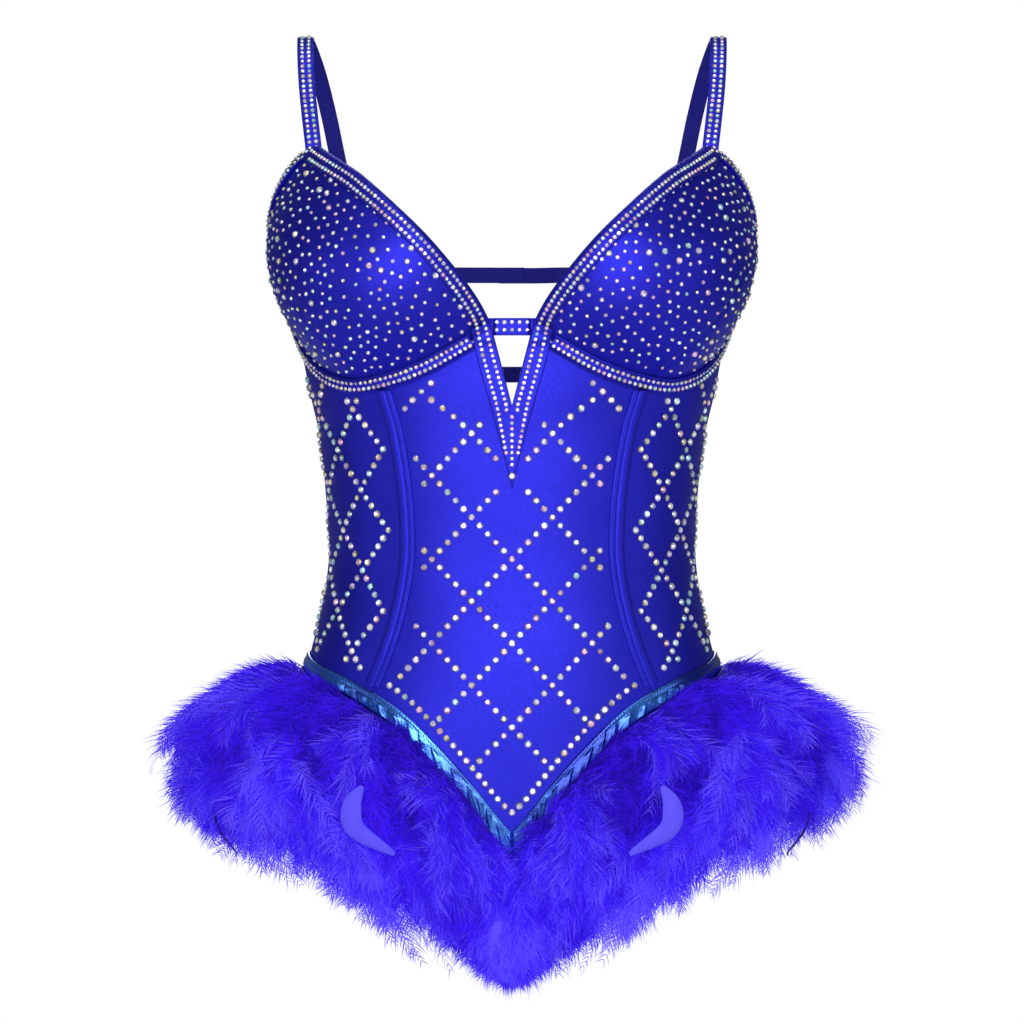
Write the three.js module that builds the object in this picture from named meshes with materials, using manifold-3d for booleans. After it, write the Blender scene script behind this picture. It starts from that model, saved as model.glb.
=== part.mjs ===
// A boned stage leotard with moulded cups, shoulder straps, a V neckline, two back straps
// that close with press studs, a foil ribbon at the hip and a feather trim below it.
// Millimetres. X to the wearer's left, the front faces -Y, +Z up, the waist centre at 0, 0, 0.
import * as THREE from "three";
import { mergeVertices } from "three/addons/utils/BufferGeometryUtils.js";
import Module from "manifold-3d";

const wasm = await Module();
wasm.setup();

// ---- Body rings: height above the waist, full width, depth in front and behind ----
const waist = { height: 0, width: 248, front: 91, back: 92 };
const lowWaist = { height: -30, width: waist.width + 5, front: 92, back: 96 };
const highHip = { height: -78, width: 274, front: 96, back: 106 };
const hip = { height: -190, width: 326, front: 93, back: 112 };
const seat = { height: -290, width: 296, front: 74, back: 84 };
const rib = { height: 68, width: waist.width + 13, front: 94, back: 95 };
const underBust = { height: 104, width: 276, front: 97, back: 98 };
const bust = { height: 190, width: 305, front: 95, back: 98 };
const chest = { height: 235, width: 300, front: 89, back: 93 };
const upperChest = { height: 265, width: 286, front: 82, back: 86 };
const neckBase = { height: 310, width: 240, front: 70, back: 76 };
const rings = [seat, hip, highHip, lowWaist, waist, rib, underBust, bust, chest, upperChest, neckBase];
const squareness = 2.4; // 2 is an ellipse, more is boxier

// ---- Cups ----
const cupDepth = 44; // how far the fullest point stands off the chest
const cupTop = 300; // height where the bulge dies out
const cupInner = 8; // angles where the bulge starts and ends
const cupOuter = 88;

// ---- Fabric, wadding and trims ----
const fabric = 1.2;
const lining = 0.8;
const foam = 3;
const trim = 1.4;
const gap = 0.8; // clear space kept between layers
const innerGap = 1.5; // the same inside the shell, where flat facets stand further in
const seamGap = 0.6; // between two pieces that meet edge to edge
const bindingWidth = 10;
const armBindingWidth = 8;
const bone = { width: 5, thickness: 1.2 };
const channelWidth = 10;
const wireRadius = 1.2;
const casingWidth = 10;
const casingSkin = 0.8;
const wireDrop = 1.5; // the wire lies this far below the cup seam
const legElasticWidth = 8;

// ---- Ribbon and feathers ----
const ribbonSide = 10; // height at the side seam
const ribbonCentre = 19; // height at the front point
const ribbonThickness = 1.6;
const featherClear = 3; // from the body to the feathers' inner side
const featherSideReach = 84; // how far they stand out at the sides
const featherFrontReach = 46;
const featherBackReach = 52;

// ---- Straps ----
const shoulderStrap = { width: 11, thickness: 1.6 };
const strapCrest = { x: 139.5, height: 339, flat: 30 };
const backStrap = { width: 11, thickness: 1.6 };
const upperStrapHeight = 186;
const lowerStrapHeight = 116;
const underarm = 190; // height of the fabric under the arm
const strapLap = 5; // degrees that the two halves of a back strap overlap past the centre
const ring = { width: 17, height: 9, wire: 1.8 };
const slider = { length: 12, bar: 2.2, thickness: 1.4, rest: 20 };
const stud = { base: 3.6, post: 1.5, socketBore: 2.1 };

const radian = Math.PI / 180;
const clamp = THREE.MathUtils.clamp;
const smoothstep = (x, from, to) => THREE.MathUtils.smoothstep(x, from, to);

// A smooth line y(x) through points sorted by x, held flat past its ends.
function through(points) {
  const slope = points.map((p, i) => {
    const before = points[Math.max(i - 1, 0)];
    const after = points[Math.min(i + 1, points.length - 1)];
    return (after[1] - before[1]) / (after[0] - before[0]);
  });
  return (x) => {
    const last = points.length - 1;
    if (x <= points[0][0]) return points[0][1];
    if (x >= points[last][0]) return points[last][1];
    const i = points.findIndex((p) => p[0] > x) - 1;
    const h = points[i + 1][0] - points[i][0];
    const t = (x - points[i][0]) / h;
    const rise = points[i + 1][1] - points[i][1];
    const bend = t * (1 - t) * ((1 - t) * (slope[i] * h - rise) - t * (slope[i + 1] * h - rise));
    return points[i][1] + t * rise + bend;
  };
}

const halfWidthAt = through(rings.map((r) => [r.height, r.width / 2]));
const frontAt = through(rings.map((r) => [r.height, r.front]));
const backAt = through(rings.map((r) => [r.height, r.back]));

// ---- Seam lines: height at an angle from the front centre, or angle at a height ----
const cupSeam = through([
  [7, 139], [14, 132.5], [33, 113], [50, 103.5], [60, 105.5], [70, 117], [80, 140], [86, 163],
  [89, underarm - 4],
]);
const neckline = through([
  [6.8, 132.8], [8.8, 144.5], [15, 168.6], [24.4, 199], [34.2, 221], [45.2, 239.3],
  [54.6, 250.5], [66, 262.5],
]);
const armhole = through([[66, 262.5], [70, 259], [76, 236], [82, 210], [89, underarm]]);
const channelAngle = through([
  [-105, 50.5], [-65, 44], [-20, 40.6], [14, 40.2], [41, 41], [74, 43], [98, 45.4],
]);
const ribbonTop = through([
  [0, -191], [3.4, -185], [14.4, -161], [25.4, -138], [39.6, -111], [56, -92], [70, -83],
  [90, -75], [130, -88], [180, -108],
]);
const backScoop = through([
  [88, underarm],
  [100, upperStrapHeight + 7],
  [108, upperStrapHeight + 6],
  [112, upperStrapHeight - 8],
  [118, upperStrapHeight - 36],
  [126, lowerStrapHeight + 2],
  [140, 78],
  [160, 46],
  [180, 34],
]);
const legLine = through([
  [22, -225], [40, -205], [62, -160], [90, -118], [120, -135], [145, -180], [158, -225],
]);
const featherHem = through([
  [0, -308], [20, -296], [40, -262], [60, -235], [80, -222], [100, -212], [140, -222],
  [180, -236],
]);
const openingBottom = 89; // where the V neckline opens
const trimTip = 34;
const trimHalfAngle = 13.4; // outer edge of the V trim at its top
const openingHalfAngle = 6.8; // inner edge of the V at its top
const gussetAngle = 22;
const gussetDrop = 38;
const gussetNarrowing = 0.22; // share of its width lost half way

const cupTopEdge = (a) => (a < 66 ? neckline(a) : armhole(a));
const ribbonHeight = (a) => ribbonSide + (ribbonCentre - ribbonSide) * clamp(1 - a / 60, 0, 1);
const ribbonMiddle = (a) => ribbonTop(a) - ribbonHeight(a) / 2;
const openingRise = neckline(openingHalfAngle) - openingBottom;
const openingEdge = (a) => openingBottom + openingRise * (a / openingHalfAngle);

// How far the cup stands off the chest at an angle and a height.
function cupBulge(angle, z) {
  const a = Math.abs(angle);
  const low = cupSeam(a);
  const s = clamp((z - low) / (cupTop - low), 0, 1);
  const t = clamp((a - cupInner) / (cupOuter - cupInner), 0, 1);
  const rise = (s * (1 - s) ** 1.6) / 0.1768;
  return cupDepth * rise * Math.max(Math.sin(Math.PI * t ** 0.8), 0) ** 0.9;
}

// A point on the garment's surface: degrees round from the front centre, height, distance outwards.
function skin(angle, z, out = 0) {
  const s = Math.abs(Math.sin(angle * radian));
  const c = Math.cos(angle * radian);
  const depth = c > 0 ? frontAt(z) : backAt(z);
  const r = ((s / halfWidthAt(z)) ** squareness + (Math.abs(c) / depth) ** squareness) ** (-1 / squareness);
  const reach = r + cupBulge(angle, z) + out;
  return new THREE.Vector3(reach * Math.sin(angle * radian), -reach * c, z);
}

// ---- Solids ----

// A closed solid between an inner and an outer grid: place(u, v, side) with side 0 inside, 1 outside.
function slab(columns, rows, place) {
  const positions = [];
  const index = [];
  const at = (i, j, side) => side * (columns + 1) * (rows + 1) + j * (columns + 1) + i;
  for (const side of [0, 1])
    for (let j = 0; j <= rows; j++)
      for (let i = 0; i <= columns; i++) positions.push(...place(i / columns, j / rows, side));
  const quad = (a, b, c, d) => index.push(a, b, c, a, c, d);
  for (let j = 0; j < rows; j++)
    for (let i = 0; i < columns; i++) {
      quad(at(i, j, 1), at(i + 1, j, 1), at(i + 1, j + 1, 1), at(i, j + 1, 1));
      quad(at(i, j, 0), at(i, j + 1, 0), at(i + 1, j + 1, 0), at(i + 1, j, 0));
    }
  for (let i = 0; i < columns; i++) {
    quad(at(i, 0, 0), at(i + 1, 0, 0), at(i + 1, 0, 1), at(i, 0, 1));
    quad(at(i, rows, 1), at(i + 1, rows, 1), at(i + 1, rows, 0), at(i, rows, 0));
  }
  for (let j = 0; j < rows; j++) {
    quad(at(0, j, 1), at(0, j + 1, 1), at(0, j + 1, 0), at(0, j, 0));
    quad(at(columns, j, 0), at(columns, j + 1, 0), at(columns, j + 1, 1), at(columns, j, 1));
  }
  const geometry = new THREE.BufferGeometry();
  geometry.setAttribute("position", new THREE.Float32BufferAttribute(positions, 3));
  geometry.setIndex(index);
  return geometry;
}

// A panel of the garment between two angles, and between two heights given at each angle.
// The angles may themselves be lines of height, as at a curved seam.
function panel({ from, to, low, high, inner, outer, columns, rows, spread = (u) => u }) {
  const edge = (line, z) => (typeof line === "function" ? line(z) : line);
  return slab(columns, rows, (u, v, side) => {
    let angle = 0;
    let z = 0;
    for (let pass = 0; pass < 12; pass++) {
      angle = edge(from, z) + (edge(to, z) - edge(from, z)) * spread(u);
      z = low(Math.abs(angle)) + (high(Math.abs(angle)) - low(Math.abs(angle))) * v;
    }
    const out = side ? outer : inner;
    return skin(angle, z, typeof out === "function" ? out(angle, v) : out);
  });
}

// A band laid on the surface along route(t) = [angle, height]; lift(w) is its inner face's distance out.
function strip({ route, width, lift, thickness, steps, across = 2 }) {
  return slab(across, steps, (u, v, side) => {
    const [a0, z0] = route(clamp(v - 0.004, 0, 1));
    const [a1, z1] = route(clamp(v + 0.004, 0, 1));
    const [angle, z] = route(v);
    const reach = skin(angle, z).setZ(0).length() * radian;
    const run = Math.hypot((a1 - a0) * reach, z1 - z0);
    const w = (u - 0.5) * width;
    const out = lift(Math.abs(w)) + side * thickness;
    return skin(angle + (((z1 - z0) / run) * w) / reach, z - (((a1 - a0) * reach) / run) * w, out);
  });
}

// A flat band along a space curve, its width kept level with X.
function webbing(points, width, thickness) {
  const facing = points.map((p, k) => {
    const after = points[Math.min(k + 1, points.length - 1)];
    const along = after.clone().sub(points[Math.max(k - 1, 0)]).normalize();
    const side = new THREE.Vector3(1, 0, 0).addScaledVector(along, -along.x).normalize();
    return { side, normal: side.clone().cross(along) };
  });
  return slab(1, points.length - 1, (u, v, side) => {
    const k = Math.round(v * (points.length - 1));
    return points[k]
      .clone()
      .addScaledVector(facing[k].side, (u - 0.5) * width)
      .addScaledVector(facing[k].normal, (side - 0.5) * thickness);
  });
}

// A round rod along a list of points.
function rod(points, radius, steps) {
  const circle = new THREE.Shape().absarc(0, 0, radius, 0, 2 * Math.PI);
  const curve = new THREE.CatmullRomCurve3(points);
  const options = { steps, bevelEnabled: false, curveSegments: 4, extrudePath: curve };
  return new THREE.ExtrudeGeometry(circle, options);
}

// A turned piece with its axis along Y: rings of [radius, distance along Y].
function turned(profile) {
  return new THREE.LatheGeometry(profile.map(([r, y]) => new THREE.Vector2(r, y)), 12);
}

// Several boxes joined into one solid: each is [width, height, depth, x, y, z].
function joined(boxes) {
  const solids = boxes.map(([w, h, d, x, y, z]) => {
    const box = new THREE.BoxGeometry(w, h, d).translate(x, y, z);
    box.deleteAttribute("normal");
    box.deleteAttribute("uv");
    const merged = mergeVertices(box);
    const vertProperties = merged.attributes.position.array;
    const triVerts = new Uint32Array(merged.index.array);
    return new wasm.Manifold(new wasm.Mesh({ numProp: 3, vertProperties, triVerts }));
  });
  const whole = solids.reduce((sum, one) => sum.add(one)).getMesh();
  const geometry = new THREE.BufferGeometry();
  geometry.setAttribute("position", new THREE.BufferAttribute(whole.vertProperties, 3));
  geometry.setIndex(new THREE.BufferAttribute(whole.triVerts, 1));
  return geometry;
}

// ---- Materials ----
const finish = (color, roughness, metalness = 0) =>
  new THREE.MeshStandardMaterial({ color, roughness, metalness });
const satin = finish("#2c2ddb", 0.45);
const meshLining = finish("#23239a", 0.7);
const wadding = finish("#2a2ab0", 0.9);
const foil = finish("#2b74c8", 0.25, 0.6);
const feather = finish("#4a22dd", 0.9);
const steel = finish("#c9ccd2", 0.3, 1);
const coated = finish("#2b2bc4", 0.4, 0.3);

const leotard = new THREE.Group();
function add(name, geometry, material) {
  const mesh = new THREE.Mesh(geometry, material);
  mesh.name = name;
  leotard.add(mesh);
  return mesh;
}

const sides = [
  { name: "left", sign: 1 },
  { name: "right", sign: -1 },
];
// Runs a panel or a route from the smaller signed angle to the larger, so its faces point out.
const span = (sign, near, far) => {
  const one = (line) => (typeof line === "function" ? (z) => sign * line(z) : sign * line);
  return sign > 0 ? { from: one(near), to: one(far) } : { from: one(far), to: one(near) };
};
const ease = (sign, power) => (sign > 0 ? (u) => 1 - (1 - u) ** power : (u) => u ** power);

// ---- Bodice ----
const sideSeam = 92;
const seamHalf = 0.15; // degrees left each side of a seam
const bodiceLow = (a) => ribbonMiddle(a) + seamGap / 2;
const centreHigh = (a) => Math.min(openingEdge(a), cupSeam(a) - seamGap);
add(
  "front_centre_panel",
  panel({
    from: (z) => -channelAngle(z) + seamHalf,
    to: (z) => channelAngle(z) - seamHalf,
    low: bodiceLow,
    high: centreHigh,
    inner: -fabric,
    outer: 0,
    columns: 16,
    rows: 14,
  }),
  satin,
);
for (const { name, sign } of sides) {
  const sideHigh = (a) => (a > 88.6 ? backScoop(a) : cupSeam(a) - seamGap);
  add(
    name + "_side_panel",
    panel({
      ...span(sign, (z) => channelAngle(z) + seamHalf, sideSeam - seamHalf),
      low: bodiceLow,
      high: sideHigh,
      inner: -fabric,
      outer: 0,
      columns: 10,
      rows: 13,
      spread: ease(sign, 1.3),
    }),
    satin,
  );
  add(
    name + "_back_panel",
    panel({
      ...span(sign, sideSeam + seamHalf, 180 - seamHalf),
      low: bodiceLow,
      high: backScoop,
      inner: -fabric,
      outer: 0,
      columns: 14,
      rows: 8,
    }),
    satin,
  );
}
add(
  "front_lining",
  panel({
    from: -88,
    to: 88,
    low: (a) => bodiceLow(a) + 4,
    high: (a) => Math.min(openingEdge(a), cupSeam(a), 122) - 5,
    inner: -fabric - innerGap - lining,
    outer: -fabric - innerGap,
    columns: 30,
    rows: 12,
  }),
  meshLining,
);

// ---- Cups, wires and bindings ----
const cupRoute = (sign, from, to) => (t) => {
  const a = from + (to - from) * (1 - (1 - t) ** 1.35);
  return [sign * a, cupSeam(a) - wireDrop];
};
for (const { name, sign } of sides) {
  const cup = (inset, inner, outer, columns, rows) =>
    panel({
      ...span(sign, 8.9 + inset * 0.8, 88.2 - inset),
      low: (a) => cupSeam(a) + seamGap + inset,
      high: (a) => Math.max(cupTopEdge(a) - inset * 1.6, cupSeam(a) + seamGap + inset + 1),
      inner,
      outer,
      columns,
      rows,
    });
  add(name + "_cup_cover", cup(0, -fabric, 0, 14, 9), satin);
  add(name + "_cup_foam", cup(6, -fabric - innerGap - foam, -fabric - innerGap, 13, 8), wadding);
  const wirePoints = Array.from({ length: 25 }, (_, k) => {
    const [angle, z] = cupRoute(sign, 14, 86)(k / 24);
    return skin(angle, z, gap + wireRadius);
  });
  add(name + "_underwire", rod(wirePoints, wireRadius, 22), steel);
  add(
    name + "_underwire_casing",
    strip({
      route: cupRoute(sign, 12.5, 88),
      width: casingWidth,
      lift: (w) => gap + (2 * wireRadius + gap) * (1 - smoothstep(w, 2, 4.4)),
      thickness: casingSkin,
      steps: 20,
      across: 6,
    }),
    satin,
  );
  const necklineInset = (t) => {
    const a = 9.6 + (64 - 9.6) * t ** 1.3;
    return [sign * a, neckline(a)];
  };
  add(
    name + "_neckline_binding",
    strip({
      route: (t) => {
        const [a, z] = necklineInset(t);
        const [next] = necklineInset(Math.min(t + 0.01, 1));
        const slope = (neckline(Math.abs(next) + 0.2) - neckline(Math.abs(next) - 0.2)) / 0.4;
        const reach = skin(a, z).setZ(0).length() * radian;
        const run = Math.hypot(reach, slope);
        const inset = bindingWidth / 2;
        return [a + (sign * ((slope / run) * inset)) / reach, z - (reach / run) * inset];
      },
      width: bindingWidth,
      lift: () => gap,
      thickness: trim,
      steps: 16,
    }),
    satin,
  );
  add(
    name + "_armhole_binding",
    strip({
      route: (t) => {
        const a = 70.5 + (100 - 70.5) * t;
        return [sign * a, (a < 88.5 ? armhole(a) : backScoop(a)) - armBindingWidth / 2 - 1];
      },
      width: armBindingWidth,
      lift: () => gap,
      thickness: trim,
      steps: 12,
    }),
    satin,
  );
}
add(
  "front_v_trim",
  panel({
    from: -trimHalfAngle,
    to: trimHalfAngle,
    low: (a) => trimTip + (121 - trimTip) * (a / trimHalfAngle) ** 0.95,
    high: (a) => Math.min(openingEdge(a), 124.5 - 1.5 * smoothstep(a, 7, 13)),
    inner: gap,
    outer: gap + trim,
    columns: 14,
    rows: 5,
  }),
  satin,
);
add(
  "front_bridge_strap",
  panel({
    from: -8.6,
    to: 8.6,
    low: (a) => Math.max(134.6, neckline(a + 0.3) + 0.4),
    high: () => 146,
    inner: -trim,
    outer: 0,
    columns: 4,
    rows: 1,
  }),
  satin,
);

// ---- Bones in their channels: the channel stands off the bone and comes down at its edges ----
const boneShoulder = bone.width / 2 + 0.2;
const channelFoot = channelWidth / 2 - 0.4;
for (const { name, sign } of sides) {
  const along = (low, high) => (t) => {
    const z = low + (high - low) * t;
    return [sign * channelAngle(z), z];
  };
  const low = ribbonTop(50) + 3;
  add(
    name + "_bone",
    strip({
      route: along(low + 6, 90),
      width: bone.width,
      lift: () => gap,
      thickness: bone.thickness,
      steps: 14,
      across: 1,
    }),
    steel,
  );
  add(
    name + "_bone_channel",
    strip({
      route: along(low, 94),
      width: channelWidth,
      lift: (w) => gap + (bone.thickness + gap) * (1 - smoothstep(w, boneShoulder, channelFoot)),
      thickness: casingSkin,
      steps: 14,
      across: 6,
    }),
    satin,
  );
}

// ---- Briefs, gusset and leg elastics ----
const briefHigh = (a) => ribbonMiddle(a) - seamGap / 2;
const fold = (a) => (a > 180 ? 360 - a : a);
const brief = (from, to, columns, rows) =>
  panel({
    from,
    to,
    low: (a) => legLine(fold(a)),
    high: (a) => briefHigh(fold(a)),
    inner: -fabric,
    outer: 0,
    columns,
    rows,
  });
add("front_brief", brief(-89.8, 89.8, 18, 2), satin);
add("back_brief", brief(90.2, 269.8, 20, 3), satin);
add(
  "gusset",
  slab(4, 8, (u, v, side) => {
    const swing = Math.sin(Math.PI * v);
    const lean = Math.cos(Math.PI * v);
    const front = skin((1 - 2 * u) * gussetAngle, legLine(gussetAngle));
    const back = skin(180 - (1 - 2 * u) * gussetAngle, legLine(gussetAngle));
    const inward = (1 - side) * fabric;
    const x = THREE.MathUtils.lerp(front.x, back.x, v) * (1 - gussetNarrowing * swing);
    const y = THREE.MathUtils.lerp(front.y, back.y, (1 - lean) / 2);
    const z = legLine(gussetAngle) - seamGap - gussetDrop * swing ** 0.8;
    return new THREE.Vector3(x, y + inward * lean, z + inward * swing);
  }),
  satin,
);
for (const { name, sign } of sides)
  add(
    name + "_leg_elastic",
    strip({
      route: (t) => {
        const a = 26 + (154 - 26) * t;
        return [sign * a, legLine(a) + 4.5];
      },
      width: legElasticWidth,
      lift: () => gap,
      thickness: trim,
      steps: 20,
      across: 1,
    }),
    satin,
  );

// ---- Ribbon and feathers ----
const featherReach = (a) => {
  const side = Math.sin(clamp(a, 0, 180) * radian) ** 2;
  const end = a < 90 ? featherFrontReach : featherBackReach;
  return end + (featherSideReach - end) * side;
};
const featherCuts = [0, 26, 52, 82, 126, 180];
const featherNames = ["front", "front_mid", "hip", "back_hip", "back"];
for (const { name, sign } of sides) {
  add(
    name + "_ribbon",
    panel({
      ...span(sign, 0.2, 179.8),
      low: (a) => ribbonTop(a) - ribbonHeight(a),
      high: ribbonTop,
      inner: gap,
      outer: gap + ribbonThickness,
      columns: 30,
      rows: 1,
    }),
    foil,
  );
  featherNames.forEach((part, k) => {
    const profile = through([[0, 0.14], [0.3, 0.72], [0.6, 1], [0.85, 0.8], [1, 0.42]]);
    add(
      `${name}_feathers_${part}`,
      panel({
        ...span(sign, featherCuts[k] + 0.12, featherCuts[k + 1] - 0.12),
        low: featherHem,
        high: (a) => ribbonTop(a) - ribbonHeight(a) - 0.4,
        inner: (a, v) => featherClear + 4 * (1 - v),
        outer: (a, v) => featherClear + featherReach(Math.abs(a)) * profile(1 - v),
        columns: 4,
        rows: 5,
      }),
      feather,
    );
  });
}

// ---- Back straps with press studs at the centre ----
const strapBand = (from, to, height, columns, raised = () => 0) =>
  panel({
    from,
    to,
    low: () => height - backStrap.width / 2,
    high: () => height + backStrap.width / 2,
    inner: (a) => gap + raised(a),
    outer: (a) => gap + backStrap.thickness + raised(a),
    columns,
    rows: 1,
  });
const studBase = 0.6;
const postHeight = 1.3;
const socketDepth = 1.2;
const flapRise = backStrap.thickness + 3 * 0.3 + studBase + socketDepth + 0.4;
const raisedLap = (a) => flapRise * smoothstep(a, 180 - strapLap - 14, 180 - strapLap - 3);
const backStraps = [
  { name: "upper", height: upperStrapHeight, seat: 103, hinge: 134 },
  { name: "lower", height: lowerStrapHeight, seat: 121, hinge: 132.5 },
];
for (const { name, height, seat: seatAngle, hinge } of backStraps) {
  add(`${name}_back_strap`, strapBand(180 - strapLap, 360 - seatAngle, height, 16), satin);
  add(`${name}_strap_end`, strapBand(seatAngle, hinge - 0.2, height, 5), satin);
  add(`${name}_strap_flap`, strapBand(hinge + 0.2, 180 + strapLap, height, 14, raisedLap), satin);
  const face = skin(180, height, gap + backStrap.thickness).y + 0.3;
  const studMesh = add(
    `${name}_stud`,
    turned([
      [0, 0], [stud.base, 0], [stud.base, studBase],
      [stud.post, studBase], [stud.post, studBase + postHeight], [0, studBase + postHeight],
    ]),
    steel,
  );
  const socketMesh = add(
    `${name}_socket`,
    turned([
      [stud.socketBore, 0], [stud.base, 0], [stud.base, socketDepth],
      [stud.socketBore, socketDepth], [stud.socketBore, 0],
    ]),
    steel,
  );
  studMesh.position.set(0, face, height);
  socketMesh.position.set(0, face + studBase + 0.3, height);
}

// ---- Shoulder straps with ring, tab and slider ----
const footAngle = 127.5;
const ringRise = ring.height + 4; // the strap ends this far above the back strap
const ringStandOff = 2 * gap + backStrap.thickness + ring.wire + 1;
for (const { name, sign } of sides) {
  const foot = skin(sign * footAngle, upperStrapHeight + ringRise, ringStandOff);
  const lineTop = new THREE.Vector3(sign * 126.8, 55.8, 292.8);
  const rise = lineTop.clone().sub(foot).normalize();
  const onLine = (k) => foot.clone().lerp(lineTop, k);
  const crest = [-1.5, -0.5, 0.5, 1.5].map(
    (k) => new THREE.Vector3(sign * strapCrest.x, (k * strapCrest.flat) / 3, strapCrest.height),
  );
  const curve = new THREE.CatmullRomCurve3([
    skin(sign * 67.5, 263.3, -fabric / 2),
    skin(sign * 68.5, 280, -fabric / 2).setX(sign * 134.5),
    new THREE.Vector3(sign * 137.3, -38, 304),
    new THREE.Vector3(sign * 138.8, -29, 325),
    ...crest,
    new THREE.Vector3(sign * 133.5, 37, 321),
    onLine(1),
    onLine(0.75),
    onLine(0.5),
    onLine(0.25),
    onLine(0),
  ]);
  const spans = curve.points.length - 1;
  const strap = webbing(curve.getPoints(spans * 2), shoulderStrap.width, shoulderStrap.thickness);
  add(name + "_shoulder_strap", strap, satin);

  const side = new THREE.Vector3(1, 0, 0).addScaledVector(rise, -rise.x).normalize();
  const frame = new THREE.Matrix4().makeBasis(side, rise, side.clone().cross(rise));
  const seatOnStrap = (mesh, distance) => {
    mesh.quaternion.setFromRotationMatrix(frame);
    mesh.position.copy(foot).addScaledVector(rise, distance);
  };
  const inside = ring.height - 2 * ring.wire;
  const ringMesh = add(
    name + "_strap_ring",
    joined([
      [ring.width, ring.wire, ring.wire, 0, (inside + ring.wire) / 2, 0],
      [ring.width, ring.wire, ring.wire, 0, -(inside + ring.wire) / 2, 0],
      [ring.wire, inside + ring.wire, ring.wire, (ring.width - ring.wire) / 2, 0, 0],
      [ring.wire, inside + ring.wire, ring.wire, -(ring.width - ring.wire) / 2, 0, 0],
    ]),
    steel,
  );
  seatOnStrap(ringMesh, -0.3 - ring.height / 2);
  add(
    name + "_ring_tab",
    panel({
      ...span(sign, footAngle - 3, footAngle + 3.5),
      low: () => upperStrapHeight - backStrap.width / 2 + 1,
      high: () => upperStrapHeight + ringRise - ring.height - 1,
      inner: 2 * gap + backStrap.thickness,
      outer: 2 * gap + backStrap.thickness + 1.2,
      columns: 2,
      rows: 1,
    }),
    satin,
  );
  const room = shoulderStrap.width + 2 * 0.5;
  const layer = shoulderStrap.thickness / 2 + 0.4 + slider.thickness / 2;
  const rail = 1.6;
  const railDepth = 2 * layer + slider.thickness;
  const outer = room + 2 * rail;
  const reach = (slider.length - slider.bar) / 2;
  const sliderMesh = add(
    name + "_strap_slider",
    joined([
      [rail, slider.length, railDepth, (room + rail) / 2, 0, 0],
      [rail, slider.length, railDepth, -(room + rail) / 2, 0, 0],
      [outer, slider.bar, slider.thickness, 0, reach, layer],
      [outer, slider.bar, slider.thickness, 0, -reach, layer],
      [outer, slider.bar, slider.thickness, 0, 0, -layer],
    ]),
    coated,
  );
  seatOnStrap(sliderMesh, slider.rest);
}

export default leotard;
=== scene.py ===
import bpy
import numpy as np
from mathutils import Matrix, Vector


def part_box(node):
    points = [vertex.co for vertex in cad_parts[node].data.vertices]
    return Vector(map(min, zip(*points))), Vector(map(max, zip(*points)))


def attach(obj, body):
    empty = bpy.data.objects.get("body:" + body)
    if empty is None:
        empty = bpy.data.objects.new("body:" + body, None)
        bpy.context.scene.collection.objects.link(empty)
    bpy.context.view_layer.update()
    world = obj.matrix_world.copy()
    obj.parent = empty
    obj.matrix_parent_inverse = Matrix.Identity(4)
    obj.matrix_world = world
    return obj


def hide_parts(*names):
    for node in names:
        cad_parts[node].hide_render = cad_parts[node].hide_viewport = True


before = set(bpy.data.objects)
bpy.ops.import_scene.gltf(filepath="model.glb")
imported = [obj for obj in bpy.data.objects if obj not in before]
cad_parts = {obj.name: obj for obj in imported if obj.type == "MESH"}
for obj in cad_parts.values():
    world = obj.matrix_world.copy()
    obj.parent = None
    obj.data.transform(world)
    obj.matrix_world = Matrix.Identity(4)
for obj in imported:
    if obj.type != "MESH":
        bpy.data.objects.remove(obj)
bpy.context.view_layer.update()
mm = 0.001                      # shapes are worked out in millimetres and scaled when a mesh is made
rng = np.random.default_rng(20)
print("stage: frame loaded")

# Camera, at chest level straight in front
view = {"distance": 2.6, "height": 0.019, "widthSeen": 0.696}
cameraData = bpy.data.cameras.new("camera")
cameraData.sensor_width = 36
cameraData.lens = 36 * view["distance"] / view["widthSeen"]
camera = bpy.data.objects.new("camera", cameraData)
camera.location = (0, -view["distance"], view["height"])
camera.rotation_euler = (np.pi / 2, 0, 0)
bpy.context.scene.collection.objects.link(camera)
bpy.context.scene.camera = camera


# The wearer's shape, as rings: height, half width, depth in front, depth behind
bodyRings = np.array([
    (-290, 148, 74, 84), (-190, 163, 93, 112), (-78, 137, 96, 106), (-30, 126.5, 92, 96),
    (0, 124, 91, 92), (68, 130.5, 94, 95), (104, 138, 97, 98), (190, 152.5, 95, 98),
    (235, 150, 89, 93), (265, 143, 82, 86), (310, 120, 70, 76)])
shape = {"squareness": 2.4, "cupDepth": 44, "cupTop": 300, "cupInner": 8, "cupOuter": 88, "hillPeak": 0.1768}


# A smooth line through points sorted by x: a cubic between each pair, flat past the ends
def through(points):
    px, py = np.array(points, float).T
    rise = np.empty_like(px)
    rise[1:-1] = (py[2:] - py[:-2]) / (px[2:] - px[:-2])
    rise[0], rise[-1] = (py[1] - py[0]) / (px[1] - px[0]), (py[-1] - py[-2]) / (px[-1] - px[-2])

    def line(x):
        x = np.clip(x, px[0], px[-1])
        i = np.clip(np.searchsorted(px, x, side="right") - 1, 0, len(px) - 2)
        h = px[i + 1] - px[i]
        t = (x - px[i]) / h
        step = py[i + 1] - py[i]
        bend = t * (1 - t) * ((1 - t) * (rise[i] * h - step) - t * (rise[i + 1] * h - step))
        return py[i] + t * step + bend
    return line


halfWidthAt, frontAt, backAt = [through(bodyRings[:, (0, k)]) for k in (1, 2, 3)]


def heightOf(node):             # middle height of a CAD node, in millimetres
    low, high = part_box(node)
    return (low[2] + high[2]) / 2 / mm


upperStrap, lowerStrap = heightOf("upper_back_strap"), heightOf("lower_back_strap")

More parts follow.
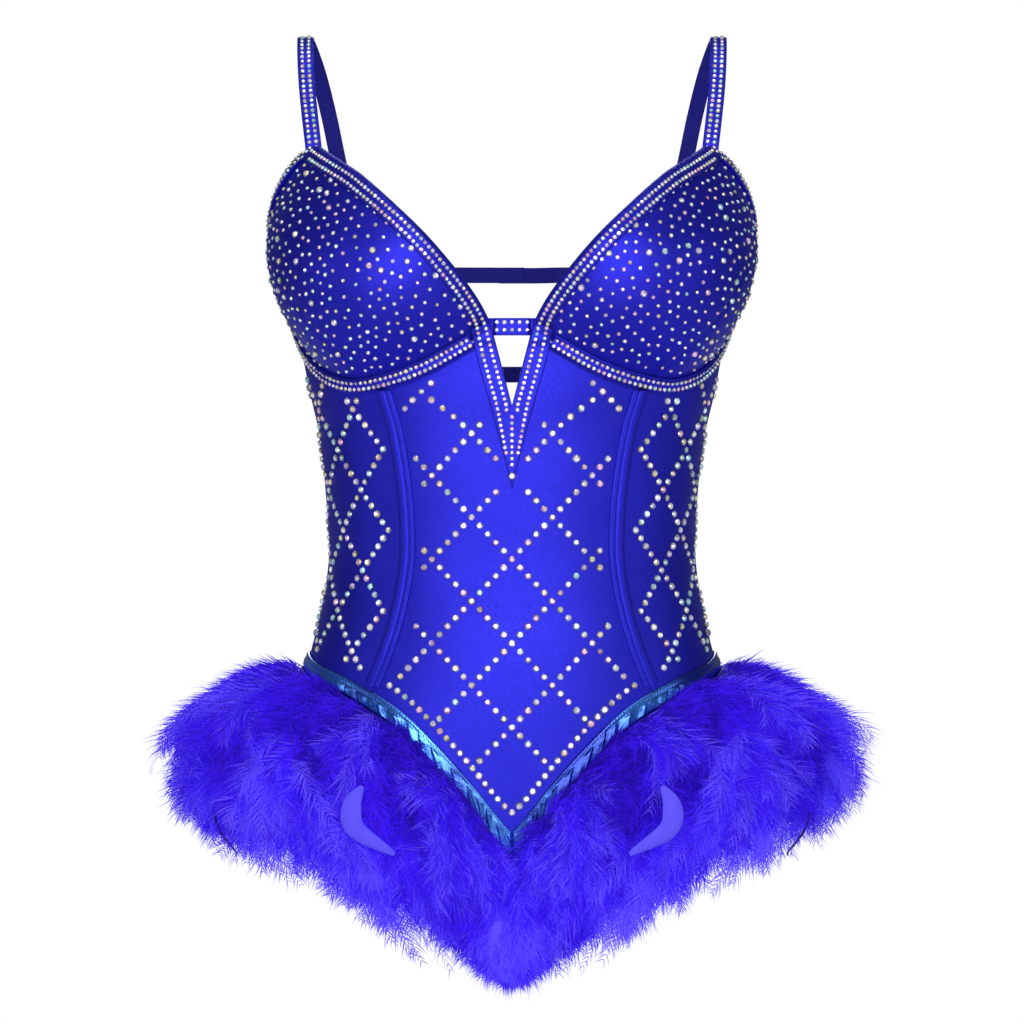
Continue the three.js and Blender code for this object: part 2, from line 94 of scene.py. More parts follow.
# Seam lines: height at an angle round from the front centre, in degrees
cupSeam = through([(7, 139), (14, 132.5), (33, 113), (50, 103.5), (60, 105.5), (70, 117), (80, 140), (86, 163),
                   (89, 186)])
neckline = through([(6.8, 132.8), (8.8, 144.5), (15, 168.6), (24.4, 199), (34.2, 221), (45.2, 239.3), (54.6, 250.5),
                    (66, 262.5)])
armhole = through([(66, 262.5), (70, 259), (76, 236), (82, 210), (89, 190)])
channelAngle = through([(-105, 50.5), (-65, 44), (-20, 40.6), (14, 40.2), (41, 41), (74, 43), (98, 45.4)])
ribbonTop = through([(0, -191), (3.4, -185), (14.4, -161), (25.4, -138), (39.6, -111), (56, -92), (70, -83),
                     (90, -75), (130, -88), (180, -108)])
backScoop = through([(88, 190), (100, upperStrap + 7), (108, upperStrap + 6), (112, 178), (118, 150), (126, 118),
                     (140, 78), (160, 46), (180, 34)])
legLine = through([(22, -225), (40, -205), (62, -160), (90, -118), (120, -135), (145, -180), (158, -225)])
featherHem = through([(0, -296), (20, -284), (40, -246), (60, -216), (80, -201), (100, -196), (140, -206),
                      (180, -222)])
opening = {"foot": 89, "rise": 43.8, "halfAngle": 6.8}      # the V between the cups


def smooth(x, low, high):
    t = np.clip((x - low) / (high - low), 0, 1)
    return t * t * (3 - 2 * t)


def ribbonHeight(angle):
    return 10 + 9 * np.clip(1 - np.abs(angle) / 60, 0, 1)


def ribbonMiddle(angle):
    return ribbonTop(np.abs(angle)) - ribbonHeight(angle) / 2


def openingEdge(angle):         # the V opening rises in a straight line from its lowest point
    return opening["foot"] + opening["rise"] * np.abs(angle) / opening["halfAngle"]


# How far a cup stands off the chest: a skewed hill over its height times a sine over its width
def cupBulge(angle, z):
    a = np.abs(angle)
    low = cupSeam(a)
    s = np.clip((z - low) / (shape["cupTop"] - low), 0, 1)
    t = np.clip((a - shape["cupInner"]) / (shape["cupOuter"] - shape["cupInner"]), 0, 1)
    rise = s * (1 - s) ** 1.6 / shape["hillPeak"]
    return shape["cupDepth"] * rise * np.clip(np.sin(np.pi * t ** 0.8), 0, 1) ** 0.9


# The garment's surface: a squared-off ellipse at each height, plus the cups, plus a distance outwards
def skin(angle, z, out=0.0):
    angle, z, out = np.broadcast_arrays(*(np.asarray(value, float) for value in (angle, z, out)))
    s, c = np.abs(np.sin(np.radians(angle))), np.cos(np.radians(angle))
    depth = np.where(c > 0, frontAt(z), backAt(z))
    n = shape["squareness"]
    r = ((s / halfWidthAt(z)) ** n + (np.abs(c) / depth) ** n) ** (-1 / n)
    reach = r + cupBulge((angle + 180) % 360 - 180, z) * np.where(c > -0.2, 1.0, 0.0) + out
    return np.stack([reach * np.sin(np.radians(angle)), -reach * c, z], -1)


def unit(v):
    return v / np.maximum(np.linalg.norm(v, axis=-1, keepdims=True), 1e-9)


# Distance run along a line of points, from its first point
def runAlong(line):
    return np.concatenate([[0], np.cumsum(np.linalg.norm(np.diff(line, axis=0), axis=-1))])


def lengthOf(line):
    return np.linalg.norm(np.diff(line, axis=0), axis=-1).sum()


# Each column of a list of points or directions, read between its rows at the distances wanted
def readAlong(at, run, values):
    return np.stack([np.interp(at, run, values[:, k]) for k in range(3)], -1)


# Millimetres of surface to one degree of angle
def degreeReach(angle, z):
    return np.linalg.norm(skin(angle, z)[..., :2], axis=-1) * np.pi / 180


# Outward normal of the surface, from two small steps on it
def outward(angle, z):
    across = skin(angle + 0.2, z) - skin(angle - 0.2, z)
    up = skin(angle, z + 0.4) - skin(angle, z - 0.4)
    return unit(np.cross(across, up))


# Distance round the surface from the front centre at each height
def roundArc(angle, z):
    steps = np.linspace(0, 1, 60)
    line = skin(np.multiply.outer(steps, angle), np.broadcast_to(z, (60,) + np.shape(angle)))
    return np.linalg.norm(np.diff(line, axis=0), axis=-1).sum(0)


# Angle at a distance round the surface, by stepping along it
def angleAt(distance, z, first=0.0, last=100.0):
    turns = np.linspace(first, last, 240)
    line = skin(turns[None, :], np.asarray(z)[:, None])
    across = np.linalg.norm(np.diff(line, axis=1), axis=-1)
    run = np.concatenate([np.zeros((len(z), 1)), np.cumsum(across, 1)], 1)
    return np.array([np.interp(d, r, turns) for d, r in zip(distance, run)])


# Faces are an array of quads, or a pair: every face's corners in a row, and the number of corners of each
def meshPiece(name, points, faces, material, smoothShade=True, sharp=40, colours=None, uv=None):
    mesh = bpy.data.meshes.new(name)
    mesh.vertices.add(len(points))
    mesh.vertices.foreach_set("co", (np.asarray(points) * mm).astype(np.float32).ravel())
    corners, sizes = (faces.ravel(), np.full(len(faces), 4)) if isinstance(faces, np.ndarray) else faces
    mesh.loops.add(len(corners))
    mesh.loops.foreach_set("vertex_index", corners.astype(np.int32))
    mesh.polygons.add(len(sizes))
    mesh.polygons.foreach_set("loop_start", (np.cumsum(sizes) - sizes).astype(np.int32))
    mesh.polygons.foreach_set("loop_total", sizes.astype(np.int32))
    mesh.update(calc_edges=True)
    mesh.polygons.foreach_set("use_smooth", np.full(len(sizes), smoothShade))
    if smoothShade and sharp:
        mesh.set_sharp_from_angle(angle=np.radians(sharp))
    if uv is not None:
        layer = mesh.uv_layers.new(name="cloth")
        layer.data.foreach_set("uv", uv[corners].astype(np.float32).ravel())
    if colours is not None:
        layer = mesh.color_attributes.new("tintAndPaintedLight", "FLOAT_COLOR", "POINT")
        layer.data.foreach_set("color", colours.astype(np.float32).ravel())
    mesh.materials.append(material)
    piece = bpy.data.objects.new(name, mesh)
    bpy.context.scene.collection.objects.link(piece)
    return piece


def settle(piece, body, slotName, *nodes):
    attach(piece, body)
    if nodes:
        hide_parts(*nodes)
    return piece


def quad(a, b, c, d):
    return np.stack([a, b, c, d], -1).reshape(-1, 4)


# Quads between rings of points, each ring joined to the next; the last joins the first where closed
def ringFaces(rings, sides, closed):
    i = np.arange(rings if closed else rings - 1)[:, None]
    j = np.arange(sides)[None, :]
    here, after, beyond = i * sides, (i + 1) % rings * sides, (j + 1) % sides
    return quad(here + j, here + beyond, after + beyond, after + j)


# Faces of a closed slab between an outer and an inner grid of the same size
def slabFaces(rows, columns):
    count = rows * columns
    at = np.arange(count).reshape(rows, columns)
    outer = quad(at[:-1, :-1], at[:-1, 1:], at[1:, 1:], at[1:, :-1])
    inner = outer[:, ::-1] + count
    low = quad(at[0, :-1] + count, at[0, 1:] + count, at[0, 1:], at[0, :-1])
    high = quad(at[-1, :-1], at[-1, 1:], at[-1, 1:] + count, at[-1, :-1] + count)
    left = quad(at[:-1, 0], at[1:, 0], at[1:, 0] + count, at[:-1, 0] + count)
    right = quad(at[:-1, -1] + count, at[1:, -1] + count, at[1:, -1], at[:-1, -1])
    return np.concatenate([outer, inner, low, high, left, right])


def slabPoints(outerGrid, innerGrid):
    return np.concatenate([outerGrid.reshape(-1, 3), innerGrid.reshape(-1, 3)])


wrongSide = {}                  # a second material for the inner faces of cloth, by the name of the first


# A slab whose cloth map is given, or spread evenly over a size in metres
def slab(name, outerGrid, innerGrid, material, uvScale=(1, 1), sharp=40, uv=None):
    rows, columns = outerGrid.shape[:2]
    if uv is None:
        u, v = np.linspace(0, uvScale[0], columns), np.linspace(0, uvScale[1], rows)
        uv = np.stack(np.meshgrid(u, v), -1)
    uv = uv.reshape(-1, 2)
    points = slabPoints(outerGrid, innerGrid)
    faces = slabFaces(rows, columns)
    piece = meshPiece(name, points, faces, material, sharp=sharp, uv=np.concatenate([uv, uv]))
    if material.name in wrongSide:
        piece.data.materials.append(wrongSide[material.name])
        sheetFaces = (rows - 1) * (columns - 1)
        layer = np.zeros(len(faces), np.int32)
        layer[sheetFaces:2 * sheetFaces] = 1
        piece.data.polygons.foreach_set("material_index", layer)
    return piece


settleTurns = 14


# A panel between two angles and two heights; each edge may follow the other, so both are settled in turn
def panelGrid(start, end, low, high, columns, rows):
    u = np.linspace(0, 1, columns)[None, :]
    v = np.linspace(0, 1, rows)[:, None]
    z = np.zeros((rows, columns))
    for turn in range(settleTurns):
        first, last = (edge(z) if callable(edge) else edge for edge in (start, end))
        angle = first + (last - first) * u
        foot = low(np.abs(angle))
        z = foot + (high(np.abs(angle)) - foot) * v
    return angle, z


# Distance in millimetres from each grid point to the nearest edge, to the left edge and to the low edge
def edgeDistance(grid):
    rows, columns = grid.shape[:2]
    across = np.linalg.norm(np.diff(grid, axis=1), axis=-1)
    up = np.linalg.norm(np.diff(grid, axis=0), axis=-1)
    left = np.concatenate([np.zeros((rows, 1)), np.cumsum(across, 1)], 1)
    low = np.concatenate([np.zeros((1, columns)), np.cumsum(up, 0)], 0)
    return np.minimum.reduce([left, left[:, -1:] - left, low, low[-1:] - low]), left, low


clothLook = {"roll": 0.55, "rollWidth": 1.1, "pucker": 0.16, "puckerReach": 6.0, "drift": 0.35, "driftFrom": 14}
leastSide = 0.0101              # the least flat side of a sheet, in metres
clothCut, leastFilled = 0.94, 0.31      # flat cloth for its stretched area, and its least share of the oblong


# Cloth over the body: the edges roll in, small puckers fade away from the seams, and wide waves drift over it
def clothPanel(name, angle, z, thickness, material, slotName, node, out=0.0, pucker=1.0, seed=0):
    base = skin(angle, z)
    x = base[..., 0]
    near, left, low = edgeDistance(base)
    roll = -clothLook["roll"] * np.exp(-near / clothLook["rollWidth"])
    ripple = np.sin(x / 2.3 + seed) * np.sin(z / 2.1 + 1.3 * seed) + 0.6 * np.sin((x + z) / 1.7 + seed)
    ripple = clothLook["pucker"] * pucker * ripple * np.exp(-near / clothLook["puckerReach"])
    drift = np.sin(z / 19 + seed + x / 60) * np.sin(x / 26 + 2 * seed)
    drift = clothLook["drift"] * pucker * drift * smooth(near, 0, clothLook["driftFrom"])
    push = roll + ripple + drift + out
    outerGrid, innerGrid = skin(angle, z, push), skin(angle, z, push - thickness)
    angle = angle + 0 * z
    cloth = np.stack([np.sign(angle) * roundArc(np.abs(angle), z), z], -1) * mm
    piece = slab(name, outerGrid, innerGrid, material, uv=cloth)
    settle(piece, "bodice", slotName, node)
    area = surfaceArea(outerGrid)
    wide, tall = left[:, -1].max() * mm, max(low[-1].max() * mm, leastSide)
    wide = max(min(wide, area / (0.33 * tall)), leastSide)
    area = min(max(area * clothCut, leastFilled * wide * tall), wide * tall)
    return piece


def surfaceArea(grid):          # in square metres
    a, b = grid[1:, 1:] - grid[:-1, :-1], grid[1:, :-1] - grid[:-1, 1:]
    return float(np.linalg.norm(np.cross(a, b), axis=-1).sum() / 2) * mm * mm


# A point beside a route on the surface: the route's own direction turned a quarter, times w
def beside(route, t, w):
    step = 0.003
    a0, z0 = route(np.clip(t - step, 0, 1))
    a1, z1 = route(np.clip(t + step, 0, 1))
    angle, z = route(t)
    reach = degreeReach(angle, z)
    run = np.hypot((a1 - a0) * reach, z1 - z0)
    return angle + (z1 - z0) / run * w / reach, z - (a1 - a0) * reach / run * w


gap, fabric, trim = 0.8, 1.2, 1.4       # air under a band, thickness of the satin, thickness of a folded band


# A band along a route: width across it, a profile of height over the width, and a rolled edge;
# a mitre moves the first or last end along the route, more on one side of the band
def stripPiece(name, route, width, lift, thickness, node, steps, across, curl, wobble=0.0, mitre=(0, 0, 1)):
    t = np.linspace(0, 1, steps)[:, None]
    w = np.linspace(-width / 2, width / 2, across)[None, :]
    t = t + (mitre[0] * (1 - t) + mitre[1] * t) * (0.5 + mitre[2] * w / width)
    angle, z = beside(route, t + 0 * w, w + 0 * t)
    edge = np.clip((width / 2 - np.abs(w)) / 1.2, 0, 1)
    roll = -curl * (1 - edge) ** 2
    wave = wobble * np.sin(t * steps * 0.55) * (1 - edge)
    height = lift(np.abs(w))
    outerGrid = skin(angle, z, height + thickness + roll + wave)
    flush = (gap + 0.1) * (1 - smooth(width / 2 - np.abs(w), 0.5, 2.0))
    innerGrid = skin(angle, z, height - 0.25 * roll - flush)
    wide, long = width * mm, lengthOf(outerGrid[:, across // 2]) * mm
    piece = slab(name, outerGrid, innerGrid, satin, uvScale=(wide, long), sharp=50)
    settle(piece, "bodice", "satin", node)
    wide = max(wide, leastSide)
    return piece


# A round tube along points, its ring carried square to the path; both ends closed by a point
def tubeMesh(points, radius, sides=12, closed=False, squash=1.0):
    points = np.asarray(points, float)
    ahead = np.roll(points, -1, 0) - np.roll(points, 1, 0) if closed else np.gradient(points, axis=0)
    ahead = unit(ahead)
    helper = np.where(np.abs(ahead[:, 1:2]) > 0.9, [[1.0, 0, 0]], [[0, 1.0, 0]])
    one = unit(np.cross(ahead, helper))
    two = np.cross(one, ahead)
    turn = np.linspace(0, 2 * np.pi, sides, endpoint=False)
    radius = np.broadcast_to(radius, len(points))[:, None, None]
    flatOne, flatTwo = np.cos(turn)[None, :, None], squash * np.sin(turn)[None, :, None]
    ring = points[:, None] + radius * (flatOne * one[:, None] + flatTwo * two[:, None])
    count = len(points)
    quads = ringFaces(count, sides, closed)
    verts = ring.reshape(-1, 3)
    corners, sizes = quads.ravel(), np.full(len(quads), 4)
    if not closed:
        verts = np.concatenate([verts, points[:1], points[-1:]])
        here, after = np.arange(sides), (np.arange(sides) + 1) % sides
        lastRing, tip = (count - 1) * sides, np.full(sides, count * sides)
        first = np.stack([tip, after, here], -1)
        last = np.stack([tip + 1, lastRing + here, lastRing + after], -1)
        corners = np.concatenate([corners, first.ravel(), last.ravel()])
        sizes = np.concatenate([sizes, np.full(2 * sides, 3)])
    return verts, (corners, sizes)


# Copies of a small shape: each is scaled, turned to its own three axes and put in its place
def copies(template, faces, place, axisX, axisY, axisZ, size):
    count = len(place)
    local = template[None] * np.asarray(size).reshape(count, 1, -1)
    points = place[:, None]
    for k, axis in enumerate((axisX, axisY, axisZ)):
        points = points + local[..., k:k + 1] * axis[:, None]
    corners, sizes = faces
    allCorners = corners[None] + (np.arange(count) * len(template))[:, None]
    return points.reshape(-1, 3), (allCorners.ravel(), np.tile(sizes, count))


print("stage: shape functions ready")


def nodeGroup(name, inputs, outputs):       # a shader group with named number inputs and outputs
    group = bpy.data.node_groups.new(name, "ShaderNodeTree")
    for label, value in inputs.items():
        socket = group.interface.new_socket(name=label, in_out="INPUT", socket_type="NodeSocketFloat")
        socket.default_value = value
    for label in outputs:
        group.interface.new_socket(name=label, in_out="OUTPUT", socket_type="NodeSocketFloat")
    return group, group.nodes.new("NodeGroupInput"), group.nodes.new("NodeGroupOutput")


def wire(tree, *pairs):         # each pair is an output and the input that it feeds
    for source, target in pairs:
        tree.links.new(source, target)


def addNode(tree, kind, values=None, **settings):
    node = tree.nodes.new(kind)
    for label, value in settings.items():
        setattr(node, label, value)
    for label, value in (values or {}).items():
        node.inputs[label].default_value = value
    return node


# Cloth grain: fine ribs across the piece's own cloth map, flecks of yarn, and a slow drift in shade
def makeClothGrain():
    tree, given, result = nodeGroup("clothGrain", {"Ribs": 420, "Flecks": 700}, ["Height", "Fleck", "Drift"])
    place = addNode(tree, "ShaderNodeTexCoord")
    ribs = addNode(tree, "ShaderNodeTexWave", {"Distortion": 1.5, "Detail": 2.0}, bands_direction="DIAGONAL")
    flecks = addNode(tree, "ShaderNodeTexNoise", {"Detail": 3.0, "Roughness": 0.65})
    drift = addNode(tree, "ShaderNodeTexNoise", {"Scale": 16.0, "Detail": 2.0})
    height = addNode(tree, "ShaderNodeMath", {1: 0.55}, operation="MULTIPLY_ADD")
    wire(tree, (place.outputs["UV"], ribs.inputs["Vector"]), (place.outputs["Object"], flecks.inputs["Vector"]),
         (place.outputs["Object"], drift.inputs["Vector"]), (given.outputs["Ribs"], ribs.inputs["Scale"]),
         (given.outputs["Flecks"], flecks.inputs["Scale"]), (ribs.outputs["Fac"], height.inputs[0]),
         (flecks.outputs["Fac"], height.inputs[2]), (height.outputs[0], result.inputs["Height"]),
         (flecks.outputs["Fac"], result.inputs["Fleck"]), (drift.outputs["Fac"], result.inputs["Drift"]))
    return tree


# Rubbed metal: small scratches along one way and broad dull patches
def makeRubMarks():
    tree, given, result = nodeGroup("rubMarks", {"Scratches": 900, "Patches": 120}, ["Scratch", "Patch"])
    place = addNode(tree, "ShaderNodeTexCoord")
    stretch = addNode(tree, "ShaderNodeMapping")
    stretch.inputs["Scale"].default_value = (1, 1, 0.12)
    scratch = addNode(tree, "ShaderNodeTexNoise", {"Detail": 4.0})
    patch = addNode(tree, "ShaderNodeTexNoise", {"Detail": 2.0})
    wire(tree, (place.outputs["Object"], stretch.inputs["Vector"]),
         (stretch.outputs["Vector"], scratch.inputs["Vector"]),
         (place.outputs["Object"], patch.inputs["Vector"]),
         (given.outputs["Scratches"], scratch.inputs["Scale"]),
         (given.outputs["Patches"], patch.inputs["Scale"]), (scratch.outputs["Fac"], result.inputs["Scratch"]),
         (patch.outputs["Fac"], result.inputs["Patch"]))
    return tree


clothGrain, rubMarks = makeClothGrain(), makeRubMarks()


def plainMaterial(name, shaderValues):
    material = bpy.data.materials.new(name)
    material.use_nodes = True
    shader = material.node_tree.nodes["Principled BSDF"]
    for label, value in shaderValues.items():
        shader.inputs[label].default_value = value
    return material, material.node_tree, shader


# A number spread between two others by a mask
def spread(tree, mask, low, high, fromLow=0.3, fromHigh=0.7):
    ends = {"From Min": fromLow, "From Max": fromHigh, "To Min": low, "To Max": high}
    node = addNode(tree, "ShaderNodeMapRange", ends)
    wire(tree, (mask, node.inputs["Value"]))
    return node.outputs["Result"]


# A colour between two others by a mask
def blendColours(tree, mask, dark, bright):
    node = addNode(tree, "ShaderNodeMix", {6: (*dark, 1), 7: (*bright, 1)}, data_type="RGBA")
    wire(tree, (mask, node.inputs["Factor"]))
    return node.outputs[2]


# Joins a colour, a roughness and a bump height to the material's shader
def joinShader(tree, shader, colour, roughness, height, strength, distance):
    bump = addNode(tree, "ShaderNodeBump", {"Strength": strength, "Distance": distance})
    wire(tree, (height, bump.inputs["Height"]), (colour, shader.inputs["Base Color"]),
         (roughness, shader.inputs["Roughness"]), (bump.outputs["Normal"], shader.inputs["Normal"]))


def grainNode(tree, ribs, flecks):
    grain = addNode(tree, "ShaderNodeGroup", node_tree=clothGrain)
    grain.inputs["Ribs"].default_value = ribs
    grain.inputs["Flecks"].default_value = flecks
    return grain


# Cloth: flecks and drift shade the colour, the ribs and flecks stand up as a fine bump
def clothMaterial(name, look):
    material, tree, shader = plainMaterial(name, look["shader"])
    grain = grainNode(tree, look["ribs"], look["flecks"])
    mask = addNode(tree, "ShaderNodeMath", operation="MULTIPLY")
    wire(tree, (spread(tree, grain.outputs["Fleck"], 0.55, 1.0), mask.inputs[0]),
         (spread(tree, grain.outputs["Drift"], 0.75, 1.0), mask.inputs[1]))
    colour = blendColours(tree, mask.outputs[0], look["dark"], look["bright"])
    roughness = spread(tree, grain.outputs["Fleck"], *look["gloss"])
    joinShader(tree, shader, colour, roughness, grain.outputs["Height"], look["bump"], 0.0003)
    return material


# Colours between flecks and on them, ribs and flecks per metre, bump strength, roughness off and on the flecks
satinLook = {"dark": (0.014, 0.014, 0.38), "bright": (0.03, 0.03, 0.66), "ribs": 420, "flecks": 620,
             "bump": 0.4, "gloss": (0.5, 0.4), "shader": {"Metallic": 0.82, "Specular IOR Level": 0.2}}
satinBackLook = {"dark": (0.008, 0.008, 0.16), "bright": (0.018, 0.018, 0.30), "ribs": 420, "flecks": 620,
                 "bump": 0.4, "gloss": (0.85, 0.7), "shader": {"Specular IOR Level": 0.2}}
liningLook = {"dark": (0.01, 0.01, 0.2), "bright": (0.02, 0.02, 0.38), "ribs": 260, "flecks": 500,
              "bump": 0.6, "gloss": (0.8, 0.65), "shader": {"Specular IOR Level": 0.2}}
foamLook = {"dark": (0.02, 0.02, 0.32), "bright": (0.035, 0.035, 0.55), "ribs": 150, "flecks": 900,
            "bump": 0.5, "gloss": (0.9, 0.75), "shader": {"Sheen Weight": 0.2, "Specular IOR Level": 0.2}}
threadLook = {"dark": (0.003, 0.003, 0.08), "bright": (0.007, 0.007, 0.2), "ribs": 900, "flecks": 1500,
              "bump": 0.5, "gloss": (0.55, 0.4), "shader": {"Specular IOR Level": 0.4}}
satin = clothMaterial("blueStretchSatin", satinLook)
satinBack = clothMaterial("satinWrongSide", satinBackLook)
wrongSide[satin.name] = satinBack
liningCloth = clothMaterial("meshLiningCloth", liningLook)
foamCloth = clothMaterial("mouldedCupFoam", foamLook)
threadCord = clothMaterial("blueThread", threadLook)


# Metal: roughness and shade follow the rub marks
def metalMaterial(name, look):
    material, tree, shader = plainMaterial(name, look["shader"])
    marks = addNode(tree, "ShaderNodeGroup", node_tree=rubMarks)
    marks.inputs["Scratches"].default_value = look["scratches"]
    marks.inputs["Patches"].default_value = look["patches"]
    colour = blendColours(tree, spread(tree, marks.outputs["Patch"], 0.0, 1.0), look["dark"], look["bright"])
    roughness = spread(tree, marks.outputs["Scratch"], *look["gloss"])
    joinShader(tree, shader, colour, roughness, marks.outputs["Scratch"], 0.12, 0.0002)
    return material


steelLook = {"dark": (0.5, 0.51, 0.54), "bright": (0.78, 0.79, 0.82), "scratches": 900, "patches": 150,
             "gloss": (0.18, 0.34), "shader": {"Metallic": 1.0}}
coatedLook = {"dark": (0.02, 0.02, 0.45), "bright": (0.035, 0.035, 0.65), "scratches": 700, "patches": 200,
              "gloss": (0.3, 0.45), "shader": {"Coat Weight": 0.4, "Coat Roughness": 0.2}}
steel = metalMaterial("nickelSteel", steelLook)
coatedMetal = metalMaterial("blueCoatedMetal", coatedLook)

# Foil: a metallic film whose tint drifts from deep blue to sky blue, with a fine crackle; the sky-blue patches are
# partly real tint and partly a painted highlight
foilLook = {"deep": (0.008, 0.035, 0.36), "skyTintAndHighlight": (0.09, 0.36, 1.0), "ribs": 180, "crackle": 300, "bump": 0.1,
            "gloss": (0.16, 0.34), "shader": {"Metallic": 0.85, "Coat Weight": 0.5, "Coat Roughness": 0.1}}
foil, foilTree, foilShader = plainMaterial("blueFoil", foilLook["shader"])
foilGrain = grainNode(foilTree, foilLook["ribs"], foilLook["crackle"])
foilTintAndHighlightMask = spread(foilTree, foilGrain.outputs["Drift"], 0.0, 1.0, 0.35, 0.65)
foilColour = blendColours(foilTree, foilTintAndHighlightMask, foilLook["deep"], foilLook["skyTintAndHighlight"])
foilRoughness = spread(foilTree, foilGrain.outputs["Fleck"], *foilLook["gloss"])
foilHeight = foilGrain.outputs["Height"]
joinShader(foilTree, foilShader, foilColour, foilRoughness, foilHeight, foilLook["bump"], 0.0005)


# A finish whose colour comes from the tint painted on each feather or stone, painted shade and highlight included;
# the same tint feeds a faint emission, a painted glow that lifts their shade
def tintedMaterial(name, shaderValues):
    material, tree, shader = plainMaterial(name, shaderValues)
    tintAndPaintedLight = addNode(tree, "ShaderNodeAttribute", attribute_name="tintAndPaintedLight").outputs["Color"]
    wire(tree, (tintAndPaintedLight, shader.inputs["Base Color"]), (tintAndPaintedLight, shader.inputs["Emission Color"]))
    return material


# Emission Strength is a painted glow: feathers and stones give off a little light of their own tint, which fills
# their shade
downLook = {"Roughness": 0.7, "Sheen Weight": 0.05, "Specular IOR Level": 0.1, "Emission Strength": 0.2}
crystalLook = {"Metallic": 0.6, "Roughness": 0.2, "Coat Weight": 0.6, "Coat Roughness": 0.05,
               "Emission Strength": 0.15}
featherDown = tintedMaterial("dyedDown", downLook)
crystal = tintedMaterial("rainbowCrystal", crystalLook)
print("stage: materials ready")


# Bodice panels: a seam keeps clear by half in degrees and by a gap in millimetres, and has a side angle
seams = {"half": 0.02, "gap": 0.1, "side": 92.0}
underArm = {"panel": 88.6, "binding": 88.5, "strap": 66}    # angles where one edge line takes over from another


def bodiceLow(angle):
    return ribbonMiddle(angle) + seams["gap"] / 2


def centreHigh(angle):
    return np.minimum(openingEdge(angle), cupSeam(angle) - seams["gap"])


def sideHigh(angle):
    return np.where(angle > underArm["panel"], backScoop(angle), cupSeam(angle) - seams["gap"])


def cupTopEdge(angle):
    return np.where(angle < underArm["strap"], neckline(angle), armhole(angle))


def liningHigh(angle):
    return np.minimum(np.minimum(openingEdge(angle), cupSeam(angle)), 122) - 5


def centreSide(z):              # the centre panel's edge, half a seam inside the bone channel
    return channelAngle(z) - seams["half"]


def level(height):
    return lambda angle: height + 0 * angle


# Left and right edges of a mirrored panel, always from the smaller signed angle to the larger
def mirrored(sign, near, far):
    def signed(edge):
        return lambda z: sign * (edge(z) if callable(edge) else edge)
    return (signed(near), signed(far)) if sign > 0 else (signed(far), signed(near))


sides = {"left": 1, "right": -1}
panelLook = {"liningThickness": 0.8, "underCloth": -2.7, "liningSide": 88.0, "liningInset": 4}
angle, z = panelGrid(lambda z: -centreSide(z), centreSide, bodiceLow, centreHigh, 121, 161)
clothPanel("frontCentreCloth", angle, z, fabric, satin, "satin", "front_centre_panel", seed=1)
for name, sign in sides.items():
    start, end = mirrored(sign, lambda z: channelAngle(z) + seams["half"], seams["side"] - seams["half"])
    angle, z = panelGrid(start, end, bodiceLow, sideHigh, 81, 121)
    clothPanel(name + "SideCloth", angle, z, fabric, satin, "satin", name + "_side_panel", seed=3)
    start, end = mirrored(sign, seams["side"] + seams["half"], 180 - seams["half"])
    angle, z = panelGrid(start, end, bodiceLow, backScoop, 81, 81)
    clothPanel(name + "BackCloth", angle, z, fabric, satin, "satin", name + "_back_panel", seed=5)
angle, z = panelGrid(-panelLook["liningSide"], panelLook["liningSide"],
                     lambda a: bodiceLow(a) + panelLook["liningInset"], liningHigh, 91, 61)
clothPanel("frontLiningCloth", angle, z, panelLook["liningThickness"], liningCloth, "mesh_lining", "front_lining",
           out=panelLook["underCloth"], pucker=0.5)

# Cups: a smooth cover with a dart that runs up from the wire, and a foam pad that thins to its rim
cupLook = {"inner": 8.9, "outer": 88.2, "dartFoot": 47.0, "dartSlope": 0.22, "dartLow": 150, "dartTop": 225,
           "dartDepth": 1.1, "dartWidth": 1.3, "foam": 3.0, "foamInset": 6.0, "foamRim": 9}


def cupLow(angle):
    return cupSeam(angle) + seams["gap"]


def foamLow(angle):
    return cupLow(angle) + cupLook["foamInset"]


def foamHigh(angle):
    return np.maximum(cupTopEdge(angle) - cupLook["foamInset"] * 1.6, foamLow(angle) + 1)


for name, sign in sides.items():
    start, end = mirrored(sign, cupLook["inner"], cupLook["outer"])
    angle, z = panelGrid(start, end, cupLow, cupTopEdge, 101, 91)
    dartAt = cupLook["dartFoot"] + cupLook["dartSlope"] * (z - 104)
    away = (np.abs(angle) - dartAt) * 2.3       # in millimetres
    fade = 1 - smooth(z, cupLook["dartLow"], cupLook["dartTop"])
    dart = -cupLook["dartDepth"] * np.exp(-(away / cupLook["dartWidth"]) ** 2) * fade
    clothPanel(name + "CupCloth", angle, z, fabric, satin, "satin", name + "_cup_cover", out=dart,
               pucker=0.8, seed=7)
    inset = cupLook["foamInset"]
    start, end = mirrored(sign, cupLook["inner"] + inset * 0.8, cupLook["outer"] - inset)
    angle, z = panelGrid(start, end, foamLow, foamHigh, 81, 71)
    rim = edgeDistance(skin(angle, z))[0]
    full = np.sqrt(np.clip(1 - (1 - np.clip(rim / cupLook["foamRim"], 0, 1)) ** 2, 0, 1))
    outerGrid = skin(angle, z, panelLook["underCloth"] - 0.5 * (1 - full))
    innerGrid = skin(angle, z, panelLook["underCloth"] - cupLook["foam"] * (0.25 + 0.75 * full))
    pad = slab(name + "CupPad", outerGrid, innerGrid, foamCloth, uvScale=(0.12, 0.12))
    settle(pad, "bodice", "cup_foam", name + "_cup_foam")
print("stage: bodice and cups sewn")


# Routes give an angle and a height from a share of their run
def cupRoute(sign, first, last):
    def route(t):
        a = first + (last - first) * (1 - (1 - t) ** 1.35)
        return sign * a, cupSeam(a) - 1.5
    return route


